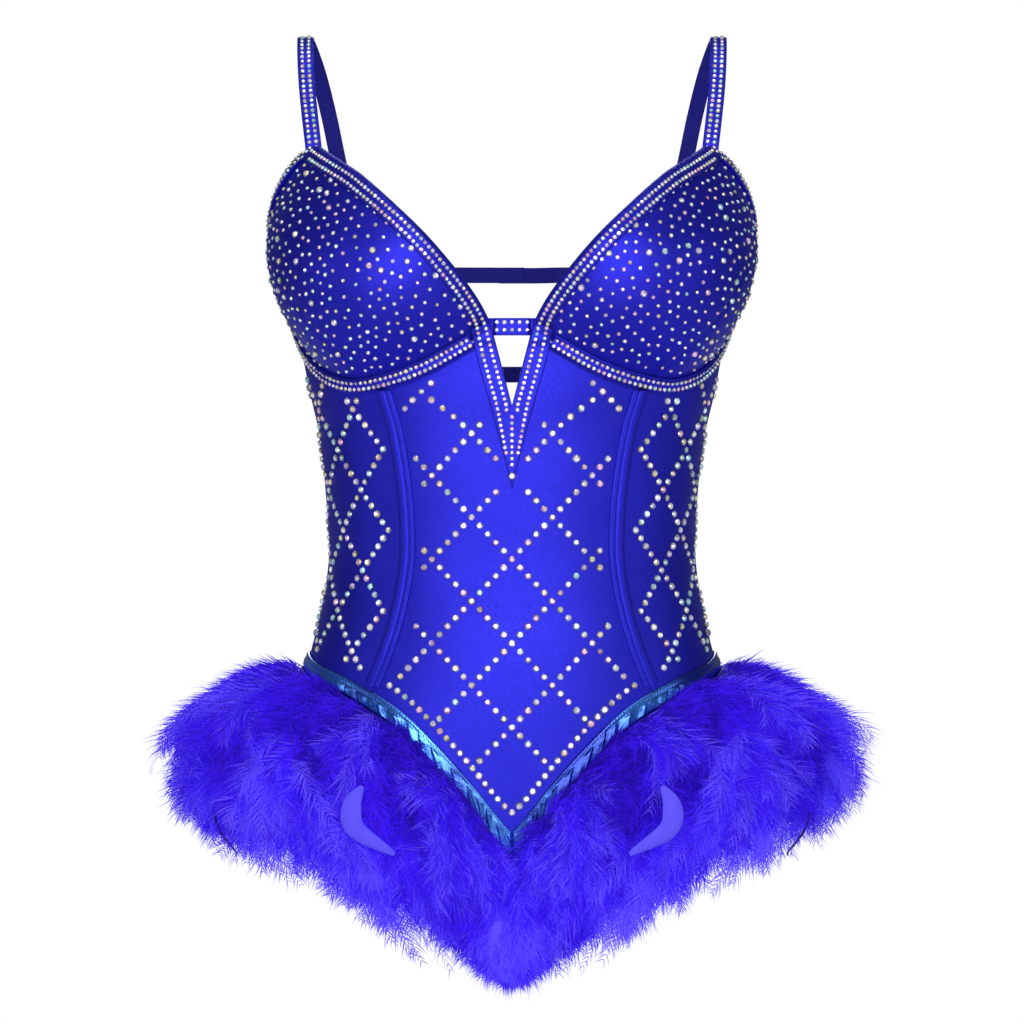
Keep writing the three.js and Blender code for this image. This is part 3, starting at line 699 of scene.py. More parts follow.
# The neckline binding's middle: the edge itself moved inwards by half its width
def necklineRoute(sign, inset=5.0):
    def route(t):
        a = 9.6 + 56.5 * t ** 1.3
        z = neckline(a)
        slope = (neckline(a + 0.2) - neckline(a - 0.2)) / 0.4
        reach = degreeReach(a, z)
        run = np.hypot(reach, slope)
        return sign * (a + slope / run * inset / reach), z - reach / run * inset
    return route


def armholeRoute(sign):
    def route(t):
        a = 66.1 + 33.9 * t
        return sign * a, np.where(a < underArm["binding"], armhole(a), backScoop(a)) - 5
    return route


def channelRoute(sign, low, high):
    def route(t):
        z = low + (high - low) * t
        return sign * channelAngle(z), z
    return route


def legRoute(sign):
    def route(t):
        a = 26 + 128 * t
        return sign * a, legLine(a) + 4.5
    return route


# A band's height profile: full height in the middle, falling to the surface between two widths
def tunnel(rise, shoulder, foot):
    return lambda w: gap + rise * (1 - smooth(w, shoulder, foot))


def flatLift(w):
    return gap + 0 * w


def boneTunnel(w):              # a round crown over the bone, steep sides, then a flat stitched flange
    return gap + 2.0 * (1 - smooth(w, 2.5, 3.4)) + 0.7 * np.clip(1 - (w / 3) ** 2, 0, 1)


# Casings stand over a wire or a bone; bindings and leg elastic are flat folded bands
bandLook = {"casing": 10, "binding": 10, "armhole": 8, "channel": 10, "elastic": 8, "thin": 0.8}
channelLow, channelHigh = float(ribbonTop(50)) + 3, 98.4
for name, sign in sides.items():
    stripPiece(name + "WireCasing", cupRoute(sign, 14.7, 88), bandLook["casing"], tunnel(3.2, 2, 4.4),
               bandLook["thin"], name + "_underwire_casing", steps=150, across=21, curl=0.3)
    stripPiece(name + "NecklineBinding", necklineRoute(sign), bandLook["binding"], flatLift, trim,
               name + "_neckline_binding", steps=170, across=17, curl=0.9, wobble=0.05, mitre=(0, -0.021, sign))
    stripPiece(name + "ArmholeBinding", armholeRoute(sign), bandLook["armhole"], flatLift, trim,
               name + "_armhole_binding", steps=120, across=15, curl=0.8, wobble=0.05, mitre=(0.036, 0, sign))
    stripPiece(name + "BoneChannel", channelRoute(sign, channelLow, channelHigh), bandLook["channel"], boneTunnel,
               bandLook["thin"], name + "_bone_channel", steps=140, across=31, curl=0.6, wobble=0.06)
    stripPiece(name + "LegElastic", legRoute(sign), bandLook["elastic"], flatLift, trim,
               name + "_leg_elastic", steps=200, across=11, curl=0.8, wobble=0.22)

# The V trim and the bridge across the neckline: the V's point, its knee, and how it bows and steepens
vTrim = {"foot": 34, "kneeAngle": 13.4, "kneeRise": 87, "bow": 0.95, "steep": 12, "end": 14.4, "lap": 1.5}
kneeHeight = vTrim["foot"] + vTrim["kneeRise"]
bridgeLook = {"half": 10.6, "low": 134.6, "high": 146, "tuck": 1.5}


def trimOuterEdge(angle):       # the V trim's lower edge: a slightly bowed leg, then steeply up to the binding
    leg = vTrim["kneeRise"] * (np.minimum(angle, vTrim["kneeAngle"]) / vTrim["kneeAngle"]) ** vTrim["bow"]
    above = kneeHeight + vTrim["steep"] * (angle - vTrim["kneeAngle"])
    return np.where(angle < vTrim["kneeAngle"], vTrim["foot"] + leg, above)


def trimOuterAngle(z):          # the same edge, as an angle at a height
    rise = np.clip(z - vTrim["foot"], 0, vTrim["kneeRise"]) / vTrim["kneeRise"]
    above = vTrim["kneeAngle"] + np.clip(z - kneeHeight, 0, 13) / vTrim["steep"]
    return np.where(z < kneeHeight, vTrim["kneeAngle"] * rise ** (1 / vTrim["bow"]), above)


def trimHigh(angle):
    return np.minimum(openingEdge(angle), 141.5 - 3 * smooth(angle, 9, vTrim["end"]))


def legLap(z):                  # the legs lie over the ends of the neckline bindings
    return vTrim["lap"] * smooth(z, 126, 133)


angle, z = panelGrid(-vTrim["end"], vTrim["end"], trimOuterEdge, trimHigh, 121, 51)
clothPanel("frontVTrimCloth", angle, z, trim, satin, "satin", "front_v_trim", out=gap + trim + legLap(z),
           pucker=0.2, seed=2)
low, high = level(bridgeLook["low"]), level(bridgeLook["high"])
angle, z = panelGrid(-bridgeLook["half"], bridgeLook["half"], low, high, 61, 21)
tucked = -bridgeLook["tuck"] * smooth(np.abs(angle), 6, 7.6)
clothPanel("frontBridgeCloth", angle, z, trim, satin, "satin", "front_bridge_strap", out=tucked,
           pucker=0.2, seed=4)


# Briefs, and a gusset that swings under from front to back
def fold(angle):
    return np.where(angle > 180, 360 - angle, angle)


def briefHigh(angle):
    return ribbonMiddle(fold(angle)) - seams["gap"] / 2


def briefLow(angle):
    return legLine(fold(angle))


angle, z = panelGrid(-89.8, 89.8, briefLow, briefHigh, 121, 41)
clothPanel("frontBriefCloth", angle, z, fabric, satin, "satin", "front_brief", seed=8)
angle, z = panelGrid(90.2, 269.8, briefLow, briefHigh, 121, 51)
clothPanel("backBriefCloth", angle, z, fabric, satin, "satin", "back_brief", seed=9)
gussetLook = {"angle": 22, "drop": 38, "narrowing": 0.22, "flat": (0.11, 0.2)}
u, v = np.meshgrid(np.linspace(0, 1, 41), np.linspace(0, 1, 61))
swing, lean = np.sin(np.pi * v), np.cos(np.pi * v)
foot = float(legLine(gussetLook["angle"]))
frontEdge = skin((1 - 2 * u) * gussetLook["angle"], foot)
backEdge = skin(180 - (1 - 2 * u) * gussetLook["angle"], foot)
x = (frontEdge[..., 0] * (1 - v) + backEdge[..., 0] * v) * (1 - gussetLook["narrowing"] * swing)
y = frontEdge[..., 1] * (1 + lean) / 2 + backEdge[..., 1] * (1 - lean) / 2
z = foot - seams["gap"] - gussetLook["drop"] * swing ** 0.8
outerGrid = np.stack([x, y, z], -1)
innerGrid = np.stack([x, y + fabric * lean, z + fabric * swing], -1)
gusset = slab("gussetCloth", outerGrid, innerGrid, satin, uvScale=(0.08, 0.16))
settle(gusset, "bodice", "satin", "gusset")
print("stage: bindings, casings and briefs sewn")


# Back straps: a level band over the skin, its edges rolled, lifted where it laps over the stud;
# each strap has a height, the angle of its seat on the panel and the angle of its hinge
strapLook = {"width": 11, "thickness": 1.6, "lap": 5, "raise": 4.7, "slit": 0.08, "stitchLine": 3.9}
backStraps = {"upper": (upperStrap, 103, 134.0), "lower": (lowerStrap, 121, 132.5)}


def lapLift(angle):
    return strapLook["raise"] * smooth(angle, 161, 172)


def strapBand(name, first, last, height, body, node, raised=None, columns=140):
    u, w = np.linspace(0, 1, columns)[None, :], np.linspace(-0.5, 0.5, 17)[:, None]
    angle = first + (last - first) * u + 0 * w
    z = height + strapLook["width"] * w + 0 * u
    lift = gap + (raised(angle) if raised else 0)
    side = np.clip((0.5 - np.abs(w)) * strapLook["width"] / 1.2, 0, 1)
    end = np.clip(np.minimum(u, 1 - u) * (last - first) * 1.6 / 1.2, 0, 1)
    roll = 0.6 * (1 - np.minimum(side, end)) ** 2
    stitchDip = 0.22 * np.exp(-((np.abs(w) * strapLook["width"] - strapLook["stitchLine"]) / 0.5) ** 2)
    outerGrid = skin(angle, z, lift + strapLook["thickness"] - roll - stitchDip)
    innerGrid = skin(angle, z, lift + 0.3 * roll)
    long = lengthOf(outerGrid[8]) * mm
    piece = slab(name, outerGrid, innerGrid, satin, uvScale=(long, strapLook["width"] * mm), sharp=50)
    settle(piece, body, "satin", node)
    return piece


for name, (height, seat, hinge) in backStraps.items():
    strapBand(name + "BackStrapCloth", 180 - strapLook["lap"], 360 - seat, height, "bodice", name + "_back_strap")
    strapBand(name + "StrapEndCloth", seat, hinge - strapLook["slit"], height, "bodice", name + "_strap_end",
              columns=60)
    strapBand(name + "StrapFlapCloth", hinge + strapLook["slit"], 180 + strapLook["lap"], height, name + "_flap",
              name + "_strap_flap", lapLift)


# A turned piece along Y: a profile of radius and distance carried round in a circle
def turnedPiece(name, profile, centre, material, sides=40):
    profile = np.array(profile, float)
    turn = np.linspace(0, 2 * np.pi, sides, endpoint=False)
    r, y = profile[:, :1], profile[:, 1:]
    points = np.stack([r * np.sin(turn), y + 0 * turn, r * np.cos(turn)], -1) + np.array(centre)
    faces = ringFaces(len(profile), sides, True)[:, [0, 3, 2, 1]]
    return meshPiece(name, points.reshape(-1, 3), faces, material, sharp=50)


# Press studs: a flanged base with a domed post, and a socket ring with a rounded rim
studLook = {"base": 3.6, "post": 1.5, "bore": 2.1, "off": 0.3, "socketOff": 0.9}
base, post, bore = studLook["base"], studLook["post"], studLook["bore"]
studProfile = [(0.01, 0), (base - 0.15, 0), (base, 0.15), (base, 0.4), (base - 0.25, 0.6), (post + 0.3, 0.6),
               (post, 0.75), (post - 0.1, 1.2), (post, 1.5), (post - 0.2, 1.8), (0.6, 1.9), (0.01, 1.9)]
socketProfile = [(bore, 0.15), (bore + 0.15, 0), (base - 0.2, 0), (base, 0.2), (base, 0.9), (base - 0.3, 1.2),
                 (bore + 0.5, 1.2), (bore + 0.2, 1.0), (bore, 0.8)]
for name, (height, seat, hinge) in backStraps.items():
    face = float(skin(180, height, gap + strapLook["thickness"])[1]) + studLook["off"]
    stud = turnedPiece(name + "PressStud", studProfile, (0, face, height), steel)
    settle(stud, "bodice", "steel", name + "_stud")
    socket = turnedPiece(name + "PressSocket", socketProfile, (0, face + studLook["socketOff"], height), steel)
    settle(socket, name + "_flap", "steel", name + "_socket")


# A curve through points, each stretch a blend of four neighbours timed by the root of their spacing
def throughSpace(points, steps):
    p = np.array(points, float)
    p = np.concatenate([[2 * p[0] - p[1]], p, [2 * p[-1] - p[-2]]])
    d = np.linalg.norm(np.diff(p, axis=0), axis=-1) ** 0.5
    d0, d1, d2 = d[:-2, None], d[1:-1, None], d[2:, None]
    a, b, c, e = p[:-3], p[1:-2], p[2:-1], p[3:]
    startSlope = ((b - a) / d0 - (c - a) / (d0 + d1) + (c - b) / d1) * d1
    endSlope = ((c - b) / d1 - (e - b) / (d1 + d2) + (e - c) / d2) * d1
    t = np.linspace(0, 1, steps, endpoint=False)[None, :, None]
    b, c, m, n = b[:, None], c[:, None], startSlope[:, None], endSlope[:, None]
    curve = b + t * m + t ** 2 * (3 * (c - b) - 2 * m - n) + t ** 3 * (2 * (b - c) + m + n)
    return np.concatenate([curve.reshape(-1, 3), p[-2:-1]])


# Shoulder straps: a flat band along a curve over the shoulder, its width kept level
shoulderLook = {"width": 11, "thickness": 1.6, "crestX": 139.5, "crestZ": 339, "flat": 30, "foot": 127.5,
                "ringRise": 13, "standOff": 6.0, "slider": 20, "room": 12, "stitchLine": 4.2}
strapLines = {}
for name, sign in sides.items():
    foot = skin(sign * shoulderLook["foot"], upperStrap + shoulderLook["ringRise"], shoulderLook["standOff"])
    lineTop = np.array([sign * 126.8, 55.8, 292.8])
    high = skin(sign * 68.5, 280, -fabric / 2)
    high[0] = sign * 134.5
    crestX, crestZ, third = sign * shoulderLook["crestX"], shoulderLook["crestZ"], shoulderLook["flat"] / 3
    front = [(sign * 131.5, -51.5, 255), (sign * 132.4, -52.2, 263.5), high, (sign * 137.3, -38, 304),
             (sign * 138.8, -29, 325)]
    crest = [(crestX, k * third, crestZ) for k in (-1.5, -0.5, 0.5, 1.5)]
    behind = [(sign * 133.5, 37, 321)] + [foot + (lineTop - foot) * k for k in (1, 0.75, 0.5, 0.25, 0)]
    points = front + crest + behind
    line = throughSpace(points, 16)
    along = unit(np.gradient(line, axis=0))
    across = unit(np.array([1.0, 0, 0]) - along * along[:, :1])
    facing = np.cross(across, along)
    strapLines[name] = (line, along, across, facing, foot, unit(lineTop - foot))
    w = np.linspace(-0.5, 0.5, 15) * shoulderLook["width"]
    side = np.clip((shoulderLook["width"] / 2 - np.abs(w)) / 1.3, 0, 1)
    half = shoulderLook["thickness"] / 2 - 0.42 * (1 - side) ** 2
    half = half - 0.12 * np.exp(-((np.abs(w) - shoulderLook["stitchLine"]) / 0.45) ** 2)
    middle = line[:, None] + across[:, None] * w[None, :, None]
    outerGrid = middle + facing[:, None] * half[None, :, None]
    innerGrid = middle - facing[:, None] * half[None, :, None]
    flat = (shoulderLook["width"] * mm, lengthOf(line) * mm)
    strap = slab(name + "ShoulderStrapCloth", outerGrid, innerGrid, satin, uvScale=flat, sharp=55)
    settle(strap, "bodice", "satin", name + "_shoulder_strap")


# A rounded rectangle as a superellipse, for wire rings and slider frames
def roundedLoop(centre, side, up, halfWide, halfTall, steps=56, power=0.28):
    t = np.linspace(0, 2 * np.pi, steps, endpoint=False)[:, None]
    x = halfWide * np.sign(np.cos(t)) * np.abs(np.cos(t)) ** power
    y = halfTall * np.sign(np.sin(t)) * np.abs(np.sin(t)) ** power
    return centre + side * x + up * y


def joinShapes(shapes):         # several vertex and face lists as one
    points = np.concatenate([s[0] for s in shapes])
    offsets = np.cumsum([0] + [len(s[0]) for s in shapes[:-1]])
    corners = np.concatenate([s[1][0] + o for s, o in zip(shapes, offsets)])
    return points, (corners, np.concatenate([s[1][1] for s in shapes]))


# Strap rings, the cloth tabs that hold them, and the coated sliders
ringLook = {"width": 17, "height": 9, "wire": 1.8}
sliderLook = {"length": 12, "bar": 2.2, "thickness": 1.4, "rail": 1.6}
for name, sign in sides.items():
    line, along, across, facing, foot, rise = strapLines[name]
    side = unit(np.array([1.0, 0, 0]) - rise * rise[0])
    normal = np.cross(side, rise)
    centre = foot - rise * (0.3 + ringLook["height"] / 2)
    halfWide, halfTall = ((ringLook[key] - ringLook["wire"]) / 2 for key in ("width", "height"))
    loop = roundedLoop(centre, side, rise, halfWide, halfTall)
    points, faces = tubeMesh(loop, ringLook["wire"] / 2, sides=14, closed=True)
    ring = meshPiece(name + "StrapRingWire", points, faces, steel, sharp=0)
    settle(ring, "bodice", "steel", name + "_strap_ring")
    start, end = mirrored(sign, shoulderLook["foot"] - 3, shoulderLook["foot"] + 3.5)
    angle, z = panelGrid(start, end, level(upperStrap - 4.5), level(upperStrap + 3), 31, 21)
    clothPanel(name + "RingTabCloth", angle, z, fabric, satin, "satin", name + "_ring_tab", out=4.4, pucker=0.2)
    centre = foot + rise * shoulderLook["slider"]
    layer = shoulderLook["thickness"] / 2 + 0.4 + sliderLook["thickness"] / 2
    outerHalf = shoulderLook["room"] / 2 + sliderLook["rail"]
    reach = (sliderLook["length"] - sliderLook["bar"]) / 2
    ends = np.array([-1.0, -0.9, 0.9, 1.0])[:, None]
    thin = np.array([0.55, 1, 1, 0.55])
    shapes = []
    for up, out in ((reach, layer), (-reach, layer), (0, -layer)):
        bar = centre + rise * up + normal * out + side * ends * outerHalf
        shapes.append(tubeMesh(bar, thin * sliderLook["bar"] / 2, sides=14, squash=0.64))
    for edge in (-1, 1):
        for out in (-layer, 0, layer):
            start = centre + side * edge * (outerHalf - sliderLook["rail"] / 2)
            rail = start + normal * out + rise * ends * sliderLook["length"] / 2
            shapes.append(tubeMesh(rail, thin * sliderLook["rail"] / 2, sides=12, squash=1.25))
    points, faces = joinShapes(shapes)
    slider = meshPiece(name + "StrapSliderFrame", points, faces, coatedMetal, sharp=45)
    settle(slider, name + "_slider", "coated_metal", name + "_strap_slider")
print("stage: straps and fittings made")

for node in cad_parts.values():    # wires and bones keep their own shape, in steel
    if node.name.endswith(("_underwire", "_bone")):
        node.data.materials.clear()
        node.data.materials.append(steel)


# Smooth random wrinkles: numbers at the corners of a grid of cells, eased into one another
def wrinkles(u, v, seed, cellU, cellV):
    table = np.random.default_rng(seed).random((64, 512))
    x, y = np.mod(u / cellU, 500), np.mod(v / cellV, 60)
    i, j = x.astype(int), y.astype(int)
    fx, fy = x - i, y - j
    fx, fy = fx * fx * (3 - 2 * fx), fy * fy * (3 - 2 * fy)
    low = table[j, i] * (1 - fx) + table[j, i + 1] * fx
    high = table[j + 1, i] * (1 - fx) + table[j + 1, i + 1] * fx
    return low * (1 - fy) + high * fy - 0.5


# Foil ribbon: tall creases across it at odd distances, and three stitched furrows under its top edge
ribbonLook = {"thickness": 1.6, "crease": 1.3, "crinkle": 0.55, "pleat": 13.0, "furrows": (0.9, 2.1, 3.3),
              "furrowWidth": 0.35, "lump": 0.35, "lumpPitch": 2.4}
for name, sign in sides.items():
    start, end = mirrored(sign, 0.2, 179.8)
    angle, z = panelGrid(start, end, lambda a: ribbonTop(a) - ribbonHeight(a), ribbonTop, 701, 25)
    base = skin(angle, z)
    near, left, low = edgeDistance(base)
    run = (left if sign > 0 else left[:, -1:] - left).mean(0)[None, :] + 0 * low
    down = low[-1:] - low
    saw = np.mod(run / ribbonLook["pleat"] + wrinkles(run, 0 * run, 3, 21, 1) + 0.08 * down / 3, 1)
    crease = ribbonLook["crease"] * (saw ** 1.5 * (1 - smooth(saw, 0.86, 1.0)))
    crinkle = sum(share * wrinkles(run, down, seed, wide, tall)
                  for share, seed, wide, tall in ((1.3, 11, 7.5, 9.0), (0.8, 12, 4.0, 6.0), (0.1, 13, 2.2, 3.0)))
    crinkle = ribbonLook["crinkle"] * crinkle * smooth(down, 1.5, 5)
    furrow = sum(np.exp(-((down - k) / ribbonLook["furrowWidth"]) ** 2) for k in ribbonLook["furrows"])
    lumps = np.abs(np.sin(run * np.pi / ribbonLook["lumpPitch"])) * np.exp(-(down / 3.5) ** 2)
    body = smooth(near, 0, 1.6)
    push = body * (crease * smooth(down, 2.5, 6) + crinkle - 0.4 * furrow + ribbonLook["lump"] * lumps)
    outerGrid = skin(angle, z, gap + ribbonLook["thickness"] + push - 0.5 * (1 - body))
    innerGrid = skin(angle, z, gap)
    long = left[:, -1].max() * mm
    ribbon = slab(name + "FoilRibbonBand", outerGrid, innerGrid, foil, uvScale=(long, 0.015), sharp=0)
    settle(ribbon, "bodice", "foil_ribbon", name + "_ribbon")
print("stage: foil ribbon crinkled")


# Stones: a flat table inside a ring of crown facets, a short girdle and a closed back, tinted at every corner; the
# tint also holds painted facet shade and painted sparkle
stoneLook = {"sides": 8, "table": 0.52, "crown": 0.5, "girdle": 0.12, "sink": 0.25, "jitter": 0.12}
stoneTints = np.array([
    (0.9, 0.88, 0.98), (1.0, 0.98, 1.0), (1.0, 0.56, 0.82), (1.0, 0.7, 0.9), (0.78, 0.68, 1.0), (1.0, 0.9, 0.6),
    (0.55, 0.92, 1.0), (0.62, 0.92, 0.78), (1.0, 0.78, 0.6), (0.66, 0.76, 1.0)])
frontShare = np.array([0.22, 0.14, 0.14, 0.12, 0.12, 0.12, 0.05, 0.02, 0.05, 0.02])
sideShare = np.array([0.14, 0.12, 0.02, 0.03, 0.08, 0.17, 0.20, 0.14, 0.04, 0.06])


def stoneTemplate():
    n = stoneLook["sides"]
    turn = np.linspace(0, 2 * np.pi, n, endpoint=False)
    ring = np.stack([np.cos(turn), np.sin(turn), 0 * turn], -1)
    up = np.array([0, 0, 1.0])
    twist = np.stack([np.cos(turn + np.pi / n), np.sin(turn + np.pi / n), 0 * turn], -1)
    table = twist * stoneLook["table"] + up * (stoneLook["crown"] + stoneLook["girdle"])
    points = np.concatenate([table, ring + up * stoneLook["girdle"], ring - up * stoneLook["sink"]])
    k, after = np.arange(n), (np.arange(n) + 1) % n
    kite = np.stack([k, n + k, n + after], -1)
    gapFace = np.stack([k, n + after, after], -1)
    rim = np.stack([n + k, 2 * n + k, 2 * n + after, n + after], -1)
    corners = np.concatenate([k, kite.ravel(), gapFace.ravel(), rim.ravel(), 2 * n + k[::-1]])
    sizes = np.concatenate([[n], np.full(2 * n, 3), np.full(n, 4), [n]])
    return points, (corners, sizes)


stonePoints, stoneFaces = stoneTemplate()
stoneCount = 0


# Stones at places with a normal and a radius each; the share of cool tints grows towards the sides
def stonePiece(name, place, normal, radius):
    global stoneCount
    count = len(place)
    stoneCount += count
    radius = np.broadcast_to(radius, count) * (1 + 0.05 * rng.standard_normal(count))
    helper = unit(rng.standard_normal((count, 3)))
    axisZ = unit(normal + stoneLook["jitter"] * rng.standard_normal((count, 3)))
    axisX = unit(np.cross(helper, axisZ))
    axisY = np.cross(axisZ, axisX)
    points, faces = copies(stonePoints, stoneFaces, place, axisX, axisY, axisZ, radius[:, None])
    sideways = smooth(np.degrees(np.abs(np.arctan2(place[:, 0], -place[:, 1]))), 30, 75)
    share = frontShare + (sideShare - frontShare) * sideways[:, None]
    pick = (rng.random(count)[:, None] > np.cumsum(share / share.sum(1, keepdims=True), 1)).sum(1)
    second = rng.integers(0, len(stoneTints), count)
    n = stoneLook["sides"]
    main, other = stoneTints[np.minimum(pick, len(stoneTints) - 1)], stoneTints[second]
    mix = 0.7 * rng.random((count, 3 * n, 1)) ** 2
    tone = main[:, None] * (1 - mix) + other[:, None] * mix
    # painted shade and highlight: the table is tinted light, the crown facets darker and the hidden back darkest,
    # standing in for the facets' reflections
    shade = np.repeat([1.0, 0.3, 0.06], n)[None, :, None]       # table, crown and back
    uneven = np.repeat([0.7, 1.0, 1.0], n)[None, :, None]
    shade = shade * (1.25 - 1.1 * rng.random((count, 3 * n, 1)) * uneven)
    # painted sparkle: about one stone in fourteen is tinted almost twice as bright, a painted glint
    paintedSparkle = np.where(rng.random(count) < 0.07, 1.9, 0.95 + 0.3 * rng.random(count))[:, None, None]
    tintAndPaintedLight = np.clip(tone * shade * paintedSparkle, 0, 1.4).reshape(-1, 3)
    colours = np.concatenate([tintAndPaintedLight, np.ones((len(tintAndPaintedLight), 1))], -1)
    piece = meshPiece(name, points, faces, crystal, smoothShade=False, colours=colours)
    return settle(piece, "bodice", "crystal")


def onSkin(name, angle, z, out, radius):
    return stonePiece(name, skin(angle, z, out), outward(angle, z), radius)


# Places at an even pitch along a route, offset sideways by w
def evenPlaces(route, pitch, w, first=0.0, last=1.0):
    t = np.linspace(first, last, 800)
    angle, z = beside(route, t, w)
    run = runAlong(skin(angle, z))
    at = np.interp(np.arange(pitch / 2, run[-1], pitch), run, t)
    return beside(route, at, w)


# Rows of stones along a route: each row has its offset and the shares of the route where it begins and ends
def stoneRows(name, route, rows, out):
    angle, z = np.concatenate([evenPlaces(route, rowLook["pitch"], *row) for row in rows], 1)
    onSkin(name, angle, z, out, rowLook["small"])


rowLook = {"pitch": 3.65, "small": 1.55, "half": 2.15}
cupStones = {"candidates": 14000, "most": 420, "apart": 6.4, "edge": 12.3, "bigShare": 0.07, "big": 2.35}
for name, sign in sides.items():
    half = rowLook["half"] * sign
    rows = ((-half, 0.0, 0.992), (half, 0.0, 0.975))
    stoneRows(name + "NecklineStones", necklineRoute(sign), rows, gap + trim)
    stoneRows(name + "CasingStones", cupRoute(sign, 14.9, 87.5), ((-1.9,), (2.1,)), gap + 3.75)
    rows = ((-1.8 * sign, 0.012, 0.66), (2.1 * sign, 0.03, 0.66))
    stoneRows(name + "ArmholeStones", armholeRoute(sign), rows, gap + trim)

    # scattered cup stones: the best of many candidates each time, so that none stand close
    count = cupStones["candidates"]
    a, h = 9 + 80 * rng.random(count), 100 + 165 * rng.random(count)
    below = np.where(a < underArm["strap"], neckline(a) - 9, armhole(a) - 6)
    inside = (h > cupSeam(a) + 7.5) & (h < below) & (a < 86)
    a, h = a[inside], h[inside]
    spots = skin(a, h)
    edgeAngle = np.linspace(8, 88, 100)
    edgeLine = skin(edgeAngle, cupTopEdge(edgeAngle))
    clear = np.min([np.linalg.norm(spots - point, axis=-1) for point in edgeLine], 0) > cupStones["edge"]
    a, h, spots = a[clear], h[clear], spots[clear]
    kept = []
    near = np.full(len(a), 1e9)
    pick = 0
    while near[pick] > cupStones["apart"] and len(kept) < cupStones["most"]:
        kept.append(pick)
        away = np.linalg.norm(spots - spots[pick], axis=-1)
        near = np.minimum(near, away * (1 + 0.12 * rng.random(len(a))))
        pick = int(np.argmax(near))
    a, h = a[kept], h[kept]
    big = rng.random(len(a)) < cupStones["bigShare"]
    radius = np.where(big, cupStones["big"], 1.35 + 0.2 * rng.random(len(a)))
    onSkin(name + "CupStones", sign * a, h, 0.1, radius)
    print("stage: cup stones", len(a))


# V trim rows keep a distance from each leg's edges; the two sides meet at one larger stone
def trimRoute(sign, share, low, high):
    def route(t):
        z = low + (high - low) * t
        outer = trimOuterAngle(z)
        inner = np.clip((z - opening["foot"]) / opening["rise"] * opening["halfAngle"], 0, 8)
        return sign * (inner + (outer - inner) * share), z
    return route


rows, joins = [], []
trimStone = rowLook["small"] * 0.96
for sign in sides.values():
    for share, low, w in ((0.27, 84, -rowLook["half"]), (0.70, 56, rowLook["half"])):
        row = evenPlaces(trimRoute(sign, share, low, 140), rowLook["pitch"], 0.0)
        above = evenPlaces(necklineRoute(sign), rowLook["pitch"], w * sign)
        rows.append(row)
        joins.append([row[k][-1] + (above[k][0] - row[k][-1]) * np.array([0.36, 0.68]) for k in (0, 1)])
rows.append((np.zeros(9), 50 + 3.9 * np.arange(9)))
angle, z = np.concatenate(rows, 1)
onSkin("vTrimStones", angle, z, gap + trim + legLap(z), trimStone)
angle, z = np.concatenate(joins, 1)
onSkin("vJoinStones", angle, z, gap + trim, trimStone)
onSkin("vTipStone", np.array([0.0]), np.array([42.5]), gap + trim, 2.6)
x = np.linspace(-9.6, 9.6, 5)
angle, z = np.concatenate([x, x]) * 0.61, np.concatenate([0 * x + 143.2, 0 * x + 138.2])
onSkin("bridgeStones", angle, z, 0.1, rowLook["small"])


# Shoulder strap stones: two rows from the cup to the top of the shoulder
for name, sign in sides.items():
    line, along, across, facing, foot, rise = strapLines[name]
    run = runAlong(line)
    at = np.arange(3.0, run[np.argmax(line[:, 2])] + 14, 3.75)
    middle, sideways, up = (readAlong(at, run, values) for values in (line, across, facing))
    middle = middle + up * (shoulderLook["thickness"] / 2)
    places = np.concatenate([middle + sideways * w for w in (-2.25, 2.25)])
    stonePiece(name + "ShoulderStones", places, np.concatenate([up, up]), rowLook["small"])


# Lattice stones: two families of slanting lines, each crossing every half period; five steps between crossings
lattice = {"halfRound": 26.5, "halfHigh": 27.5, "crossing": -12.0, "radius": 2.45, "steps": 5, "clear": 6.5,
           "rowUp": 10.5, "rowPitch": 6.5, "overRow": 4.8, "underCup": 8.5, "fromTrim": 4.6, "top": 108}


def latticePlaces(look):
    reachUp, steps = 12, lattice["steps"]
    k = np.arange(-reachUp * steps, reachUp * steps + 1) / steps
    s, z = [], []
    for line in range(-14, 15, 2):
        for slope in (1, -1):
            s.append(slope * k * look["halfRound"] + line * look["halfRound"])
            z.append(look["crossing"] + k * look["halfHigh"])
    s, z = np.concatenate(s), np.concatenate(z)
    keys = np.unique(np.round(np.stack([s, z], -1), 2), axis=0)
    return keys[:, 0], keys[:, 1]


# Row beside the ribbon, then the crossing lines of the centre panel, kept clear of seams and of that row
rowAngle = np.linspace(0, 46, 400)
rowHeight = ribbonTop(rowAngle) + lattice["rowUp"] + 2.5 * np.exp(-(rowAngle / 5) ** 2)
rowRun = runAlong(skin(rowAngle, rowHeight))
picked = np.interp(np.arange(0, rowRun[-1], lattice["rowPitch"]), rowRun, rowAngle)
rowAngles = np.concatenate([-picked[1:][::-1], picked])
rowHeights = np.interp(np.abs(rowAngles), rowAngle, rowHeight)
s, z = latticePlaces(lattice)
keep = (np.abs(s) < 110) & (z > -185) & (z < 125)
s, z = s[keep], z[keep]
s = s * (1 + 0.13 * smooth(np.abs(s), 27, 53) * smooth(z, 50, 95))
a = angleAt(np.abs(s), z)
edge = roundArc(channelAngle(z), z)
trimOuter = roundArc(trimOuterAngle(z), z)
clearOfTrim = (z < vTrim["foot"]) | (np.abs(s) > trimOuter + lattice["fromTrim"])
clearOfRow = z > ribbonTop(a) + lattice["rowUp"] + lattice["overRow"]
clearOfCup = (z < cupSeam(a) - lattice["underCup"]) & (z < lattice["top"])
keep = (np.abs(s) < edge - lattice["clear"] - 2.5) & clearOfCup & clearOfTrim & clearOfRow
keep = keep & ~((np.abs(s) < 3) & (z > 30)) & ((np.abs(s) > 40) | (z < 82))     # none right under the V
angles = np.concatenate([np.sign(s[keep]) * a[keep], rowAngles])
